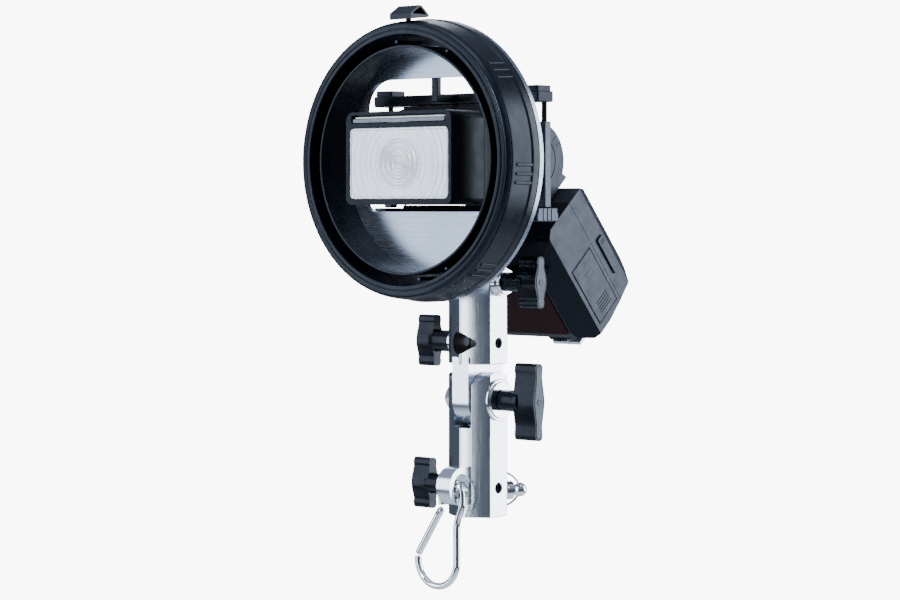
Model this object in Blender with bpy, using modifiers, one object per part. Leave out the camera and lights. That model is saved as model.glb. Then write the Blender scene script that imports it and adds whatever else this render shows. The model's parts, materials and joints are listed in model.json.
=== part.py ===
"""Speed-ring bracket for a shoe-mount flash, with the flash clamped in it.

Frame: +Z up, the ring opens towards -Y, X = 0 is the bracket's plane of symmetry.
The origin is the centre of the stand socket's bottom face, on the stud's axis.
Every dimension below is in millimetres and becomes metres through MM.
"""

import math

import bmesh
import bpy
from mathutils import Matrix, Vector

MM = 0.001
GAP = 0.3  # clearance between neighbouring pieces

# swivel (lower body) and tilt head, both cut from one six-sided bar
HEX_A, HEX_B, HEX_RIDGE = 15.3, 7.6, 15.7
SOCKET_R, SOCKET_DEPTH = 8.1, 38.0
TILT_Z = 65.6
EAR_R, TONGUE_R = 15.6, 15.2
FORK_HALF, TONGUE_HALF, FORK_FLOOR = 6.2, 5.85, 50.0
HEAD_Z0, HEAD_Z1 = 85.6, 146.0
UMBRELLA_Z = 97.5
RING_BOLT_Z = 132.0
STAND_LOCK_Z = 15.6

# ring
RING_Z = 199.3
RIM_Y, HOUSING_BACK = -65.5, -41.2
RIM_R, BACK_R = 75.0, 78.0
GROOVE_R, SLEEVE_R0, SLEEVE_R1 = 68.6, 61.4, 62.9
RIB_CENTRES = (38.5, 141.5, 186.0, 231.0, 309.0, 354.0)  # degrees round the ring's axis
PLATE_Y0, PLATE_Y1 = -40.9, -37.8
WINDOW_X, WINDOW_Z0, WINDOW_Z1 = 48.2, 171.2, 245.0

# clamp
JAW_HALF = 60.5
ROD_X, ROD_Y = 56.6, -10.6

# flash
HEAD_HALF, HEAD_BOTTOM, HEAD_TOP = 38.5, 175.0, 226.0
HEAD_FRONT, HEAD_BACK = -67.5, 2.0
PIVOT_Y, PIVOT_Z = 23.5, 200.0
BODY_TILT = math.radians(41.0)
SEAM_V = -7.2
SHOE_V = -16.0

# safety eye
EYE_Y, EYE_Z, EYE_R, EYE_HOLE = -21.0, 18.1, 10.6, 6.2


# ---------------------------------------------------------------- scene
for old in list(bpy.data.objects):
    bpy.data.objects.remove(old, do_unlink=True)
for old in list(bpy.data.collections):
    bpy.data.collections.remove(old)

PARTS = bpy.data.collections.new("speedlite_ring_bracket")
CUTTERS = bpy.data.collections.new("cutters")
bpy.context.scene.collection.children.link(PARTS)
bpy.context.scene.collection.children.link(CUTTERS)


def material(name, colour, rough, metal=0.0, transmission=0.0):
    m = bpy.data.materials.new(name)
    m.use_nodes = True
    shader = m.node_tree.nodes["Principled BSDF"]
    shader.inputs["Base Color"].default_value = (*colour, 1.0)
    shader.inputs["Roughness"].default_value = rough
    shader.inputs["Metallic"].default_value = metal
    shader.inputs["Transmission Weight"].default_value = transmission
    return m


ALUMINIUM = material("satin_aluminium", (0.72, 0.74, 0.78), 0.32, 1.0)
CHROME = material("polished_chrome", (0.85, 0.86, 0.88), 0.08, 1.0)
STEEL = material("brushed_steel", (0.62, 0.64, 0.68), 0.35, 1.0)
BLACK_STEEL = material("black_oxide_steel", (0.03, 0.03, 0.035), 0.4, 0.8)
HOUSING = material("ring_plastic", (0.035, 0.04, 0.055), 0.45)
KNOB = material("knob_plastic", (0.03, 0.032, 0.042), 0.42)
RUBBER = material("black_rubber", (0.015, 0.015, 0.017), 0.85)
FLASH = material("flash_plastic", (0.03, 0.032, 0.042), 0.5)
LENS = material("fresnel_acrylic", (0.92, 0.94, 0.96), 0.12, 0.0, 0.85)
MIRROR = material("reflector_film", (0.9, 0.9, 0.9), 0.12, 1.0)
GLASS = material("tube_glass", (0.95, 0.95, 0.93), 0.05, 0.0, 0.9)
CARD = material("white_card", (0.85, 0.85, 0.83), 0.6)
RED = material("ir_red_acrylic", (0.06, 0.003, 0.005), 0.12)
SCREEN = material("lcd_glass", (0.10, 0.12, 0.11), 0.15)
BOARD = material("circuit_board", (0.02, 0.16, 0.07), 0.5)
CELL = material("battery_sleeve", (0.12, 0.16, 0.30), 0.35)


# ---------------------------------------------------------------- helpers
def finish_mesh(bm, name):
    bmesh.ops.remove_doubles(bm, verts=bm.verts, dist=1e-7)
    bmesh.ops.recalc_face_normals(bm, faces=bm.faces)
    mesh = bpy.data.meshes.new(name)
    bm.to_mesh(mesh)
    bm.free()
    return mesh


def put(name, mesh, mat=None, cutter=False, parent=None):
    obj = bpy.data.objects.new(name, mesh)
    if cutter:
        CUTTERS.objects.link(obj)
        obj.hide_render = True
        obj.display_type = "WIRE"
    else:
        PARTS.objects.link(obj)
        obj.data.materials.append(mat)
    if parent is not None:
        obj.parent = parent
    return obj


def axis_empty(name, location, rotation=(0.0, 0.0, 0.0)):
    e = bpy.data.objects.new(name, None)
    e.location = [c * MM for c in location]
    e.rotation_euler = rotation
    e.empty_display_size = 0.01
    PARTS.objects.link(e)
    return e


def placed(mesh, origin):
    """Moves the mesh so that its object's origin can stand at this point."""
    mesh.transform(Matrix.Translation([-c * MM for c in origin]))


def box_mesh(x, y, z, name="box"):
    bm = bmesh.new()
    bmesh.ops.create_cube(bm, size=1.0)
    size = Vector([(b - a) * MM for a, b in (x, y, z)])
    centre = Vector([(a + b) / 2 * MM for a, b in (x, y, z)])
    bmesh.ops.scale(bm, verts=bm.verts, vec=size)
    bmesh.ops.translate(bm, verts=bm.verts, vec=centre)
    return finish_mesh(bm, name)


def rod_mesh(a, b, r, r2=None, seg=24, name="rod"):
    """A cylinder or cone from point a to point b."""
    a, b = Vector(a) * MM, Vector(b) * MM
    bm = bmesh.new()
    bmesh.ops.create_cone(
        bm,
        cap_ends=True,
        segments=seg,
        radius1=r * MM,
        radius2=(r if r2 is None else r2) * MM,
        depth=(b - a).length,
    )
    turn = Vector((0, 0, 1)).rotation_difference((b - a).normalized()).to_matrix()
    bmesh.ops.rotate(bm, verts=bm.verts, matrix=turn)
    bmesh.ops.translate(bm, verts=bm.verts, vec=(a + b) / 2)
    return finish_mesh(bm, name)


def from_object(obj):
    """The evaluated mesh of a helper object, welded, and the helper removed."""
    bpy.context.view_layer.update()
    graph = bpy.context.evaluated_depsgraph_get()
    mesh = bpy.data.meshes.new_from_object(obj.evaluated_get(graph))
    mesh.transform(obj.matrix_world)
    bm = bmesh.new()
    bm.from_mesh(mesh)
    bpy.data.objects.remove(obj, do_unlink=True)
    return finish_mesh(bm, "made")


PLANES = {
    # outline (u, v) and thickness t -> (x, y, z)
    "XY": Matrix(((1, 0, 0, 0), (0, 1, 0, 0), (0, 0, 1, 0), (0, 0, 0, 1))),
    "XZ": Matrix(((1, 0, 0, 0), (0, 0, 1, 0), (0, 1, 0, 0), (0, 0, 0, 1))),
    "YZ": Matrix(((0, 0, 1, 0), (1, 0, 0, 0), (0, 1, 0, 0), (0, 0, 0, 1))),
}


def outline_mesh(loops, t0, t1, plane):
    """A flat outline, with holes if more than one loop, given thickness t0..t1 across its plane."""
    curve = bpy.data.curves.new("outline", "CURVE")
    curve.dimensions = "2D"
    curve.fill_mode = "BOTH"
    curve.extrude = abs(t1 - t0) / 2 * MM
    for loop in loops:
        spline = curve.splines.new("POLY")
        spline.points.add(len(loop) - 1)
        for point, (u, v) in zip(spline.points, loop):
            point.co = (u * MM, v * MM, 0.0, 1.0)
        spline.use_cyclic_u = True
    obj = bpy.data.objects.new("outline", curve)
    PARTS.objects.link(obj)
    mesh = from_object(obj)
    mesh.transform(Matrix.Translation((0, 0, (t0 + t1) / 2 * MM)))
    mesh.transform(PLANES[plane])
    bm = bmesh.new()
    bm.from_mesh(mesh)
    return finish_mesh(bm, "outline")


def turned_mesh(profile, origin, axis="Z", seg=48, closed=False):
    """A (radius, height) profile swept once round an axis through origin."""
    n = len(profile)
    mesh = bpy.data.meshes.new("profile")
    edges = [(i, i + 1) for i in range(n - 1)] + ([(n - 1, 0)] if closed else [])
    mesh.from_pydata([(r * MM, 0.0, h * MM) for r, h in profile], edges, [])
    obj = bpy.data.objects.new("profile", mesh)
    PARTS.objects.link(obj)
    screw = obj.modifiers.new("Screw", "SCREW")
    screw.axis = "Z"
    screw.steps = screw.render_steps = seg
    screw.use_merge_vertices = True
    screw.merge_threshold = 1e-6
    mesh = from_object(obj)
    turn = {
        "Z": Matrix.Identity(4),
        "X": Matrix.Rotation(math.radians(90), 4, "Y"),
        "Y": Matrix.Rotation(math.radians(-90), 4, "X"),
    }[axis]
    mesh.transform(turn)
    mesh.transform(Matrix.Translation([c * MM for c in origin]))
    return mesh


def wire_mesh(points, r, resolution=2, cyclic=False):
    curve = bpy.data.curves.new("wire", "CURVE")
    curve.dimensions = "3D"
    curve.bevel_depth = r * MM
    curve.bevel_resolution = resolution
    curve.use_fill_caps = True
    spline = curve.splines.new("POLY")
    spline.points.add(len(points) - 1)
    for point, p in zip(spline.points, points):
        point.co = (p[0] * MM, p[1] * MM, p[2] * MM, 1.0)
    spline.use_cyclic_u = cyclic
    obj = bpy.data.objects.new("wire", curve)
    PARTS.objects.link(obj)
    return from_object(obj)


def arc(cx, cy, r, a0, a1, n):
    return [
        (
            cx + r * math.cos(math.radians(a0 + (a1 - a0) * i / n)),
            cy + r * math.sin(math.radians(a0 + (a1 - a0) * i / n)),
        )
        for i in range(n + 1)
    ]


def rounded_rect(x0, x1, y0, y1, radii, n=4):
    """Corner radii run lower left, lower right, upper right, upper left."""
    a, b, c, d = radii
    return (
        arc(x0 + a, y0 + a, a, 180, 270, n)
        + arc(x1 - b, y0 + b, b, 270, 360, n)
        + arc(x1 - c, y1 - c, c, 0, 90, n)
        + arc(x0 + d, y1 - d, d, 90, 180, n)
    )


def boolean(obj, mesh, operation="DIFFERENCE"):
    cutter = put(f"{obj.name}_{operation.lower()}_{len(obj.modifiers)}", mesh, cutter=True, parent=obj.parent)
    cutter.location = obj.location
    modifier = obj.modifiers.new(operation.title(), "BOOLEAN")
    modifier.operation = operation
    modifier.solver = "EXACT"
    modifier.object = cutter
    return cutter


def bevel(obj, width, segments=2, angle=40):
    modifier = obj.modifiers.new("Bevel", "BEVEL")
    modifier.width = width * MM
    modifier.segments = segments
    modifier.limit_method = "ANGLE"
    modifier.angle_limit = math.radians(angle)
    modifier.miter_outer = "MITER_SHARP"
    modifier.use_clamp_overlap = True


def smooth(obj, angle=40):
    obj.data.shade_smooth()
    obj.data.set_sharp_from_angle(angle=math.radians(angle))


def hexagon(scale=0.0):
    a, b, r = HEX_A + scale, HEX_B + scale * 0.5, HEX_RIDGE + scale
    return [(a, -b), (a, b), (0, r), (-a, b), (-a, -b), (0, -r)]


# ---------------------------------------------------------------- stand swivel
def make_swivel_base():
    obj = put("swivel_base", outline_mesh([hexagon()], 0, TILT_Z + EAR_R, "XY"), ALUMINIUM)
    bevel(obj, 0.7, 1, 25)
    # ears rounded about the tilt axis
    round_top = outline_mesh(
        [[(-40, -5), (40, -5), (40, TILT_Z)] + arc(0, TILT_Z, EAR_R, 0, 180, 20) + [(-40, TILT_Z)]],
        -30,
        30,
        "YZ",
    )
    boolean(obj, round_top, "INTERSECT")
    boolean(obj, box_mesh((-FORK_HALF, FORK_HALF), (-30, 30), (FORK_FLOOR, 95)))
    # the eye that the safety hook hangs in
    eye = outline_mesh(
        [[(EYE_Y, EYE_Z - EYE_R), (-9, EYE_Z - EYE_R), (-9, EYE_Z + EYE_R)] + arc(EYE_Y, EYE_Z, EYE_R, 90, 270, 16)[:-1]],
        -3.6,
        6.2,
        "YZ",
    )
    boolean(obj, eye, "UNION")
    boolean(obj, rod_mesh((-9, EYE_Y, EYE_Z), (12, EYE_Y, EYE_Z), EYE_HOLE, seg=24))
    boolean(obj, rod_mesh((0, 0, -2), (0, 0, SOCKET_DEPTH), SOCKET_R, seg=32))
    # cross bores: tilt bolt, stand lock and its grub screw
    boolean(obj, rod_mesh((-30, 0, TILT_Z), (30, 0, TILT_Z), 3.5, seg=16))
    boolean(obj, rod_mesh((-30, 0, STAND_LOCK_Z), (-4, 0, STAND_LOCK_Z), 3.4, seg=16))
    boolean(obj, rod_mesh((4, 0, 16.2), (30, 0, 16.2), 2.9, seg=16))
    # spring pin's bore on the rear right facet
    n = Vector(((HEX_RIDGE - HEX_B), HEX_A, 0)).normalized()
    c = Vector((HEX_A / 2, (HEX_B + HEX_RIDGE) / 2, 13.4))
    boolean(obj, rod_mesh(c - n * 6.5, c + n * 4, 3.0, seg=16))
    smooth(obj)
    return obj


def t_knob(name, side, x0, x1, reach, hub_r, neck_x, neck_r, y, z, half_y=5.0, tip_y=3.2, bore=0.0, lean=0.0):
    """A wing knob on the X axis: side +1 or -1, wing x0..x1 from the symmetry plane, reach up and down."""
    pts = []
    n = 6
    pts += arc(0, reach - tip_y, tip_y, 0, 180, n)
    pts += [(-tip_y - 0.2, hub_r * 1.5), (-half_y, hub_r * 0.75)]
    pts += [(-half_y, -hub_r * 0.75), (-tip_y - 0.2, -hub_r * 1.5)]
    pts += arc(0, -reach + tip_y, tip_y, 180, 360, n)
    pts += [(tip_y + 0.2, -hub_r * 1.5), (half_y, -hub_r * 0.75)]
    pts += [(half_y, hub_r * 0.75), (tip_y + 0.2, hub_r * 1.5)]
    mesh = outline_mesh([pts], side * x0, side * x1, "YZ")
    if lean:
        mesh.transform(Matrix.Rotation(math.radians(lean), 4, "X"))
    obj = put(name, mesh, KNOB)
    obj.location = (0, y * MM, z * MM)
    bevel(obj, 1.1, 2, 50)
    boolean(obj, rod_mesh((side * neck_x, 0, 0), (side * (x0 + 4), 0, 0), neck_r, seg=24), "UNION")
    if bore:
        boolean(obj, rod_mesh((side * (neck_x - 2), 0, 0), (side * (x1 - 4.5), 0, 0), bore, seg=16))
    smooth(obj)
    return obj


def washer_stack(name, side, x0, steps, bore, y, z, mat=CHROME, seg=24):
    """Turned collar about the X axis; steps are (radius, length) outwards from x0."""
    profile = [(bore, 0.0)]
    x = 0.0
    for r, length in steps:
        profile += [(r, x), (r, x + length)]
        x += length
    profile += [(bore, x)]
    mesh = turned_mesh([(r, side * h) for r, h in profile], (side * x0, y, z), "X", seg, closed=True)
    placed(mesh, (0, y, z))
    obj = put(name, mesh, mat)
    obj.location = (0, y * MM, z * MM)
    smooth(obj)
    return obj


def make_bracket():
    make_swivel_base()
    # tilt head with its tongue
    obj = put("tilt_head", outline_mesh([hexagon()], HEAD_Z0, HEAD_Z1, "XY"), ALUMINIUM)
    obj.location = (0, 0, TILT_Z * MM)
    placed(obj.data, (0, 0, TILT_Z))
    bevel(obj, 0.7, 1, 25)
    tongue = outline_mesh(
        [[(TONGUE_R, 0), (TONGUE_R, HEAD_Z0 - TILT_Z + 4), (-TONGUE_R, HEAD_Z0 - TILT_Z + 4)] + arc(0, 0, TONGUE_R, 180, 360, 20)[:-1]],
        -TONGUE_HALF,
        TONGUE_HALF,
        "YZ",
    )
    boolean(obj, tongue, "UNION")
    boolean(obj, rod_mesh((-30, 0, 0), (30, 0, 0), 3.5, seg=16))
    # slot for the ring's foot, open at the top
    boolean(obj, box_mesh((-6.0, 6.0), (-30, 30), (127.5 - TILT_Z, 200)))
    boolean(obj, rod_mesh((-30, 0, RING_BOLT_Z - TILT_Z), (30, 0, RING_BOLT_Z - TILT_Z), 3.4, seg=16))
    # umbrella hole: round on the screw's side, a V on the other, so that thin and thick shafts both seat
    zc = UMBRELLA_Z - TILT_Z
    vee = arc(-1.6, zc, 6.4, 62, 298, 14) + arc(6.9, zc, 2.0, -62, 62, 5)
    boolean(obj, outline_mesh([vee], -30, 30, "XZ"))
    boolean(obj, rod_mesh((-30, 0, zc), (-5, 0, zc), 3.3, seg=16))
    boolean(obj, rod_mesh((5, 0, zc), (30, 0, zc), 2.9, seg=16))
    smooth(obj)

    # knobs and their hardware
    t_knob("tilt_knob", 1, 29.5, 44.6, 21.6, 6.3, 18.4, 5.9, 0, TILT_Z, 4.9, 3.0, bore=3.3)
    washer_stack("tilt_washer", 1, HEX_A + GAP, [(11.7, 1.4), (10.4, 1.1)], 3.6, 0, TILT_Z)
    bolt = put("tilt_bolt", rod_mesh((-19.6, 0, 0), (-HEX_A - GAP, 0, 0), 7.0, seg=6), CHROME)
    bolt.location = (0, 0, TILT_Z * MM)
    bevel(bolt, 0.6, 1)
    boolean(bolt, rod_mesh((-17, 0, 0), (38, 0, 0), 3.0, seg=16), "UNION")

    t_knob("umbrella_knob", -1, 30.2, 42.3, 14.8, 5.6, 18.2, 6.1, 0, UMBRELLA_Z, 4.7, 3.2, bore=3.2)
    washer_stack("umbrella_washer", -1, HEX_A + GAP, [(6.6, 2.2)], 3.6, 0, UMBRELLA_Z)
    bolt = put("umbrella_screw", rod_mesh((-36, 0, 0), (-8.4, 0, 0), 2.9, seg=16), BLACK_STEEL)
    bolt.location = (0, 0, UMBRELLA_Z * MM)

    t_knob("stand_lock_knob", -1, 33.6, 46.0, 14.6, 5.6, 25.0, 5.6, 0, STAND_LOCK_Z, 4.7, 3.2, bore=3.2)
    washer_stack("stand_lock_boss", -1, HEX_A + GAP, [(7.4, 5.0), (7.4, 1.6), (6.2, 2.2)], 3.6, 0, STAND_LOCK_Z)
    bolt = put("stand_lock_screw", rod_mesh((-39, 0, 0), (-9.0, 0, 0), 2.9, seg=16), STEEL)
    bolt.location = (0, 0, STAND_LOCK_Z * MM)

    t_knob("ring_lock_knob", 1, 32.4, 45.8, 14.4, 5.6, 22.0, 5.4, 0, RING_BOLT_Z, 4.7, 3.2, bore=3.2)
    washer_stack("ring_lock_collar", 1, HEX_A + GAP, [(8.3, 3.4), (7.2, 2.6)], 3.6, 0, RING_BOLT_Z)
    bolt = put("ring_lock_bolt", rod_mesh((-19.0, 0, 0), (-HEX_A - GAP, 0, 0), 6.0, seg=6), CHROME)
    bolt.location = (0, 0, RING_BOLT_Z * MM)
    bevel(bolt, 0.6, 1)
    boolean(bolt, rod_mesh((-17, 0, 0), (40, 0, 0), 2.9, seg=16), "UNION")

    # socket grub screws, each with a hexagon recess
    for name, x0, x1, z in (
        ("umbrella_grub_screw", 9.6, 13.4, UMBRELLA_Z),
        ("socket_grub_screw", 9.3, 13.4, 16.2),
    ):
        grub = put(name, rod_mesh((x0, 0, z), (x1, 0, z), 2.55, seg=16), BLACK_STEEL)
        boolean(grub, rod_mesh((x1 - 1.8, 0, z), (x1 + 2, 0, z), 1.35, seg=6))

    # spring pin on the rear right facet, with its finger bail
    n = Vector(((HEX_RIDGE - HEX_B), HEX_A, 0)).normalized()
    c = Vector((HEX_A / 2, (HEX_B + HEX_RIDGE) / 2, 13.4))
    housing = put("plunger_housing", rod_mesh(c + n * GAP, c + n * 6.6, 5.2, seg=24), CHROME)
    bevel(housing, 0.5, 1)
    boolean(housing, rod_mesh(c - n * 2, c + n * 9, 2.7, seg=16))
    pin = put("plunger_pin", rod_mesh(c - n * 4.0, c + n * 8.5, 2.3, seg=16), CHROME)
    bm = bmesh.new()
    bmesh.ops.create_uvsphere(bm, u_segments=14, v_segments=8, radius=4.0 * MM)
    bmesh.ops.translate(bm, verts=bm.verts, vec=(c + n * 11.3) * MM)
    boolean(pin, finish_mesh(bm, "ball"), "UNION")
    smooth(pin)
    beside = Vector((-n.y, n.x, 0)) * 5.6
    rim = [
        c + beside + n * (GAP + 8.6 * math.sin(math.radians(a))) + Vector((0, 0, 9.3 * math.cos(math.radians(a))))
        for a in range(0, 181, 12)
    ]
    bail = put("pin_bail", wire_mesh([tuple(p) for p in rim], 0.65), CHROME)
    trim = box_mesh((-30, 30), (-30, 0), (-40, 40))
    trim.transform(Matrix.Rotation(math.atan2(n.y, n.x) - math.pi / 2, 4, "Z"))
    trim.transform(Matrix.Translation((c + n * GAP) * MM))
    boolean(bail, trim)
    smooth(bail)


# ---------------------------------------------------------------- safety hook
def make_hook():
    y = -24.0
    x_spine, z_bottom = 4.9, -38.5
    pts = []
    # nose on the far side, up through the eye, down the near side
    pts += [(-5.9, 7.4), (-6.1, 11.5)]
    pts += arc(1.45, 13.3, 7.3, 176, 0, 14)
    pts += [(8.7, 9.0), (7.6, 4.5), (6.0, 0.5), (x_spine, -4.5), (x_spine, -13.0)]
    # wide bottom
    pts += arc(x_spine - 14.3, z_bottom + 14.3, 14.3, 0, -183, 18)
    points = [(x, y, z) for x, z in pts]
    obj = put("carabiner_hook", wire_mesh([(p[0], p[1] - y, p[2] - 13.6) for p in points], 1.7, 2), CHROME)
    obj.location = (0, y * MM, 13.6 * MM)
    smooth(obj, 60)
    top, foot = Vector((-5.9, y, 5.7)), Vector((-23.42, y, -21.25))
    d = (top - foot).normalized()
    gate = put("carabiner_gate", rod_mesh((0, 0, 0), top - foot, 1.9, seg=16), CHROME)
    gate.location = foot * MM
    bevel(gate, 0.5, 1)
    smooth(gate)


# ---------------------------------------------------------------- ring
def make_ring():
    plate_loop = arc(0, RING_Z, BACK_R, 0, 360, 72)[:-1]
    window = rounded_rect(-WINDOW_X, WINDOW_X, WINDOW_Z0, WINDOW_Z1, (7, 7, 17, 17), 6)
    obj = put("mount_plate", outline_mesh([plate_loop, window], PLATE_Y0, PLATE_Y1, "XZ"), STEEL)
    smooth(obj)

    y = lambda v: v - RIM_Y  # heights along the ring's axis, from the rim backwards
    profile = [
        (GROOVE_R, 0.0),
        (RIM_R - 4.2, 0.0),
        (RIM_R, 0.9),
        (RIM_R + 0.9, 3.4),
        (BACK_R - 0.5, y(-47.0)),
        (BACK_R, y(-45.5)),
        (BACK_R, y(HOUSING_BACK)),
        (SLEEVE_R1 + GAP, y(HOUSING_BACK)),
        (SLEEVE_R1 + GAP, y(-45.0)),
        (GROOVE_R, y(-45.0)),
    ]
    mesh = turned_mesh(profile, (0, RIM_Y, RING_Z), "Y", 60, closed=True)
    obj = put("ring_housing", mesh, HOUSING)
    # two inward lugs that an accessory's tabs lock behind; the lever's pin is the third
    for a in (210, 330):
        lug = [(r * math.cos(math.radians(t)), RING_Z + r * math.sin(math.radians(t))) for r, t in
               [(64.6, a - 13), (64.6, a - 6.5), (64.6, a), (64.6, a + 6.5), (64.6, a + 13),
                (70.0, a + 13), (70.0, a + 6.5), (70.0, a), (70.0, a - 6.5), (70.0, a - 13)]]
        boolean(obj, outline_mesh([lug], -55.5, -52.5, "XZ"), "UNION")
    # slot for the release lever's pin
    boolean(obj, box_mesh((-2.2, 2.2), (-61.6, -50.4), (255, 290)))
    # finger ribs in groups of three round the outer wall
    for centre in RIB_CENTRES:
        for k in (-1, 0, 1):
            a = math.radians(centre + 3.6 * k)
            rib = box_mesh((-0.75, 0.75), (-59.0, -44.0), (-1.1, 1.1))
            rib.transform(Matrix.Rotation(math.pi / 2 - a, 4, "Y"))
            rib.transform(Matrix.Translation((77.15 * math.cos(a) * MM, 0, (RING_Z + 77.15 * math.sin(a)) * MM)))
            boolean(obj, rib, "UNION")
    smooth(obj)

    sleeve = turned_mesh(
        [(SLEEVE_R0, y(-63.4)), (SLEEVE_R1, y(-63.4)), (SLEEVE_R1, y(HOUSING_BACK)), (SLEEVE_R0, y(HOUSING_BACK))],
        (0, RIM_Y, RING_Z),
        "Y",
        60,
        closed=True,
    )
    obj = put("inner_sleeve", sleeve, HOUSING)
    smooth(obj)

    # release lever: a hollow wedge loop for the finger, on a pin through the housing's slot
    tri = [(-65.8, 277.7), (-50.2, 277.7), (-50.2, 279.1), (-56.2, 283.9), (-58.8, 283.9), (-65.8, 279.4)]
    hole = [(-63.3, 279.2), (-57.9, 282.5), (-57.0, 282.5), (-52.9, 279.2)]
    shift = (0, -58.0, 278.0)
    mesh = outline_mesh([tri, hole], -7.6, 7.6, "YZ")
    placed(mesh, shift)
    obj = put("release_lever", mesh, HOUSING)
    obj.location = [c * MM for c in shift]
    stem = rod_mesh((0, -0.6, -9.5), (0, -0.6, 0.6), 1.5, seg=12)
    boolean(obj, stem, "UNION")

    # foot that drops into the tilt head's slot
    obj = put("ring_foot", box_mesh((-15, 15), (PLATE_Y1 + GAP, -33.4), (130.5, 164.5)), ALUMINIUM)
    obj.location = (0, 0, RING_BOLT_Z * MM)
    placed(obj.data, (0, 0, RING_BOLT_Z))
    bevel(obj, 1.0, 1)
    tongue = outline_mesh([[(-36, 7.5), (-18, 7.5), (-14, 2.5), (-14, -4.0), (13.5, -4.0), (13.5, 10), (8, 16.5), (-22, 16.5), (-36, 26)]], -5.7, 5.7, "YZ")
    boolean(obj, tongue, "UNION")
    notch = outline_mesh([[(-3.4, -40), (3.4, -40)] + arc(0, 0, 3.4, 0, 180, 10)], -30, 30, "YZ")
    boolean(obj, notch)
    smooth(obj)


# ---------------------------------------------------------------- head clamp
def ribbed_pad(name, z0, z1, up, y0, y1, half=38.0, pitch=4.0):
    """A rubber strip with teeth on one side."""
    teeth = []
    x = -half
    while x < half - 0.01:
        teeth += [(x, 0.0), (x + pitch * 0.5, 0.9)]
        x += pitch
    teeth.append((half, 0.0))
    if up:
        loop = [(-half, z0)] + [(half, z0)] + [(x, z1 - 0.9 + h) for x, h in reversed(teeth)]
    else:
        loop = [(-half, z1)] + [(x, z0 + 0.9 - h) for x, h in teeth] + [(half, z1)]
    return put(name, outline_mesh([loop], y0, y1, "XZ"), RUBBER)


def make_clamp():
    low = put("lower_jaw", box_mesh((-JAW_HALF, JAW_HALF), (-21.5, -2.8), (165.8, 170.6)), BLACK_STEEL)
    bevel(low, 0.8, 1)
    # arm that joins it to the plate, and the end blocks that hold the sleeves
    boolean(low, box_mesh((-24, 24), (PLATE_Y1 + GAP, -20), (166.2, 169.8)), "UNION")
    for side in (-1, 1):
        boolean(low, box_mesh(sorted((side * 51.0, side * JAW_HALF)), (-20.5, -3.6), (169, 173.2)), "UNION")
    ribbed_pad("lower_pad", 170.9, 174.7, True, -21.0, -3.2)

    up = put("upper_jaw", box_mesh((-JAW_HALF, JAW_HALF), (-21.0, -7.4), (231.0, 237.0)), BLACK_STEEL)
    up.location = (0, ROD_Y * MM, 231 * MM)
    placed(up.data, (0, ROD_Y, 231))
    bevel(up, 0.8, 1)
    for side in (-1, 1):
        boolean(up, box_mesh(sorted((side * 47.5, side * 59.6)), (-20.0 - ROD_Y, -8.4 - ROD_Y), (4, 9.2)), "UNION")
        boolean(up, rod_mesh((side * ROD_X, 0, -5), (side * ROD_X, 0, 4), 1.85, seg=12))
    boolean(up, box_mesh((-2.3, 2.3), (-37.2 - ROD_Y, -20 - ROD_Y), (1, 5.4)), "UNION")
    boolean(up, box_mesh((-2.3, 2.3), (-37.2 - ROD_Y, -33.8 - ROD_Y), (1, 30)), "UNION")
    pad = ribbed_pad("upper_pad", 224.6, 230.7, False, -20.4, -8.0)

    for side, name in ((-1, "left"), (1, "right")):
        sleeve = put(f"guide_sleeve_{name}", box_mesh((side * ROD_X - 2.7, side * ROD_X + 2.7), (ROD_Y - 2.7, ROD_Y + 2.7), (173.5, 220.5)), STEEL)
        bevel(sleeve, 0.5, 1)
        boolean(sleeve, rod_mesh((side * ROD_X, ROD_Y, 176), (side * ROD_X, ROD_Y, 230), 1.9, seg=12))
        rod = put(f"guide_rod_{name}", rod_mesh((side * ROD_X, ROD_Y, 178), (side * ROD_X, ROD_Y, 234.7), 1.5, seg=12), BLACK_STEEL)
        smooth(rod)
        turns, steps, r = 12, 6, 2.1
        coil = []
        for i in range(turns * steps + 1):
            a = 2 * math.pi * i / steps
            coil.append((side * 46.6 + r * math.cos(a), -12.0 + r * math.sin(a), 174.3 + (229.8 - 174.3) * i / (turns * steps)))
        spring = put(f"jaw_spring_{name}", wire_mesh(coil, 0.5, 0), STEEL)
        smooth(spring, 60)


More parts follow.
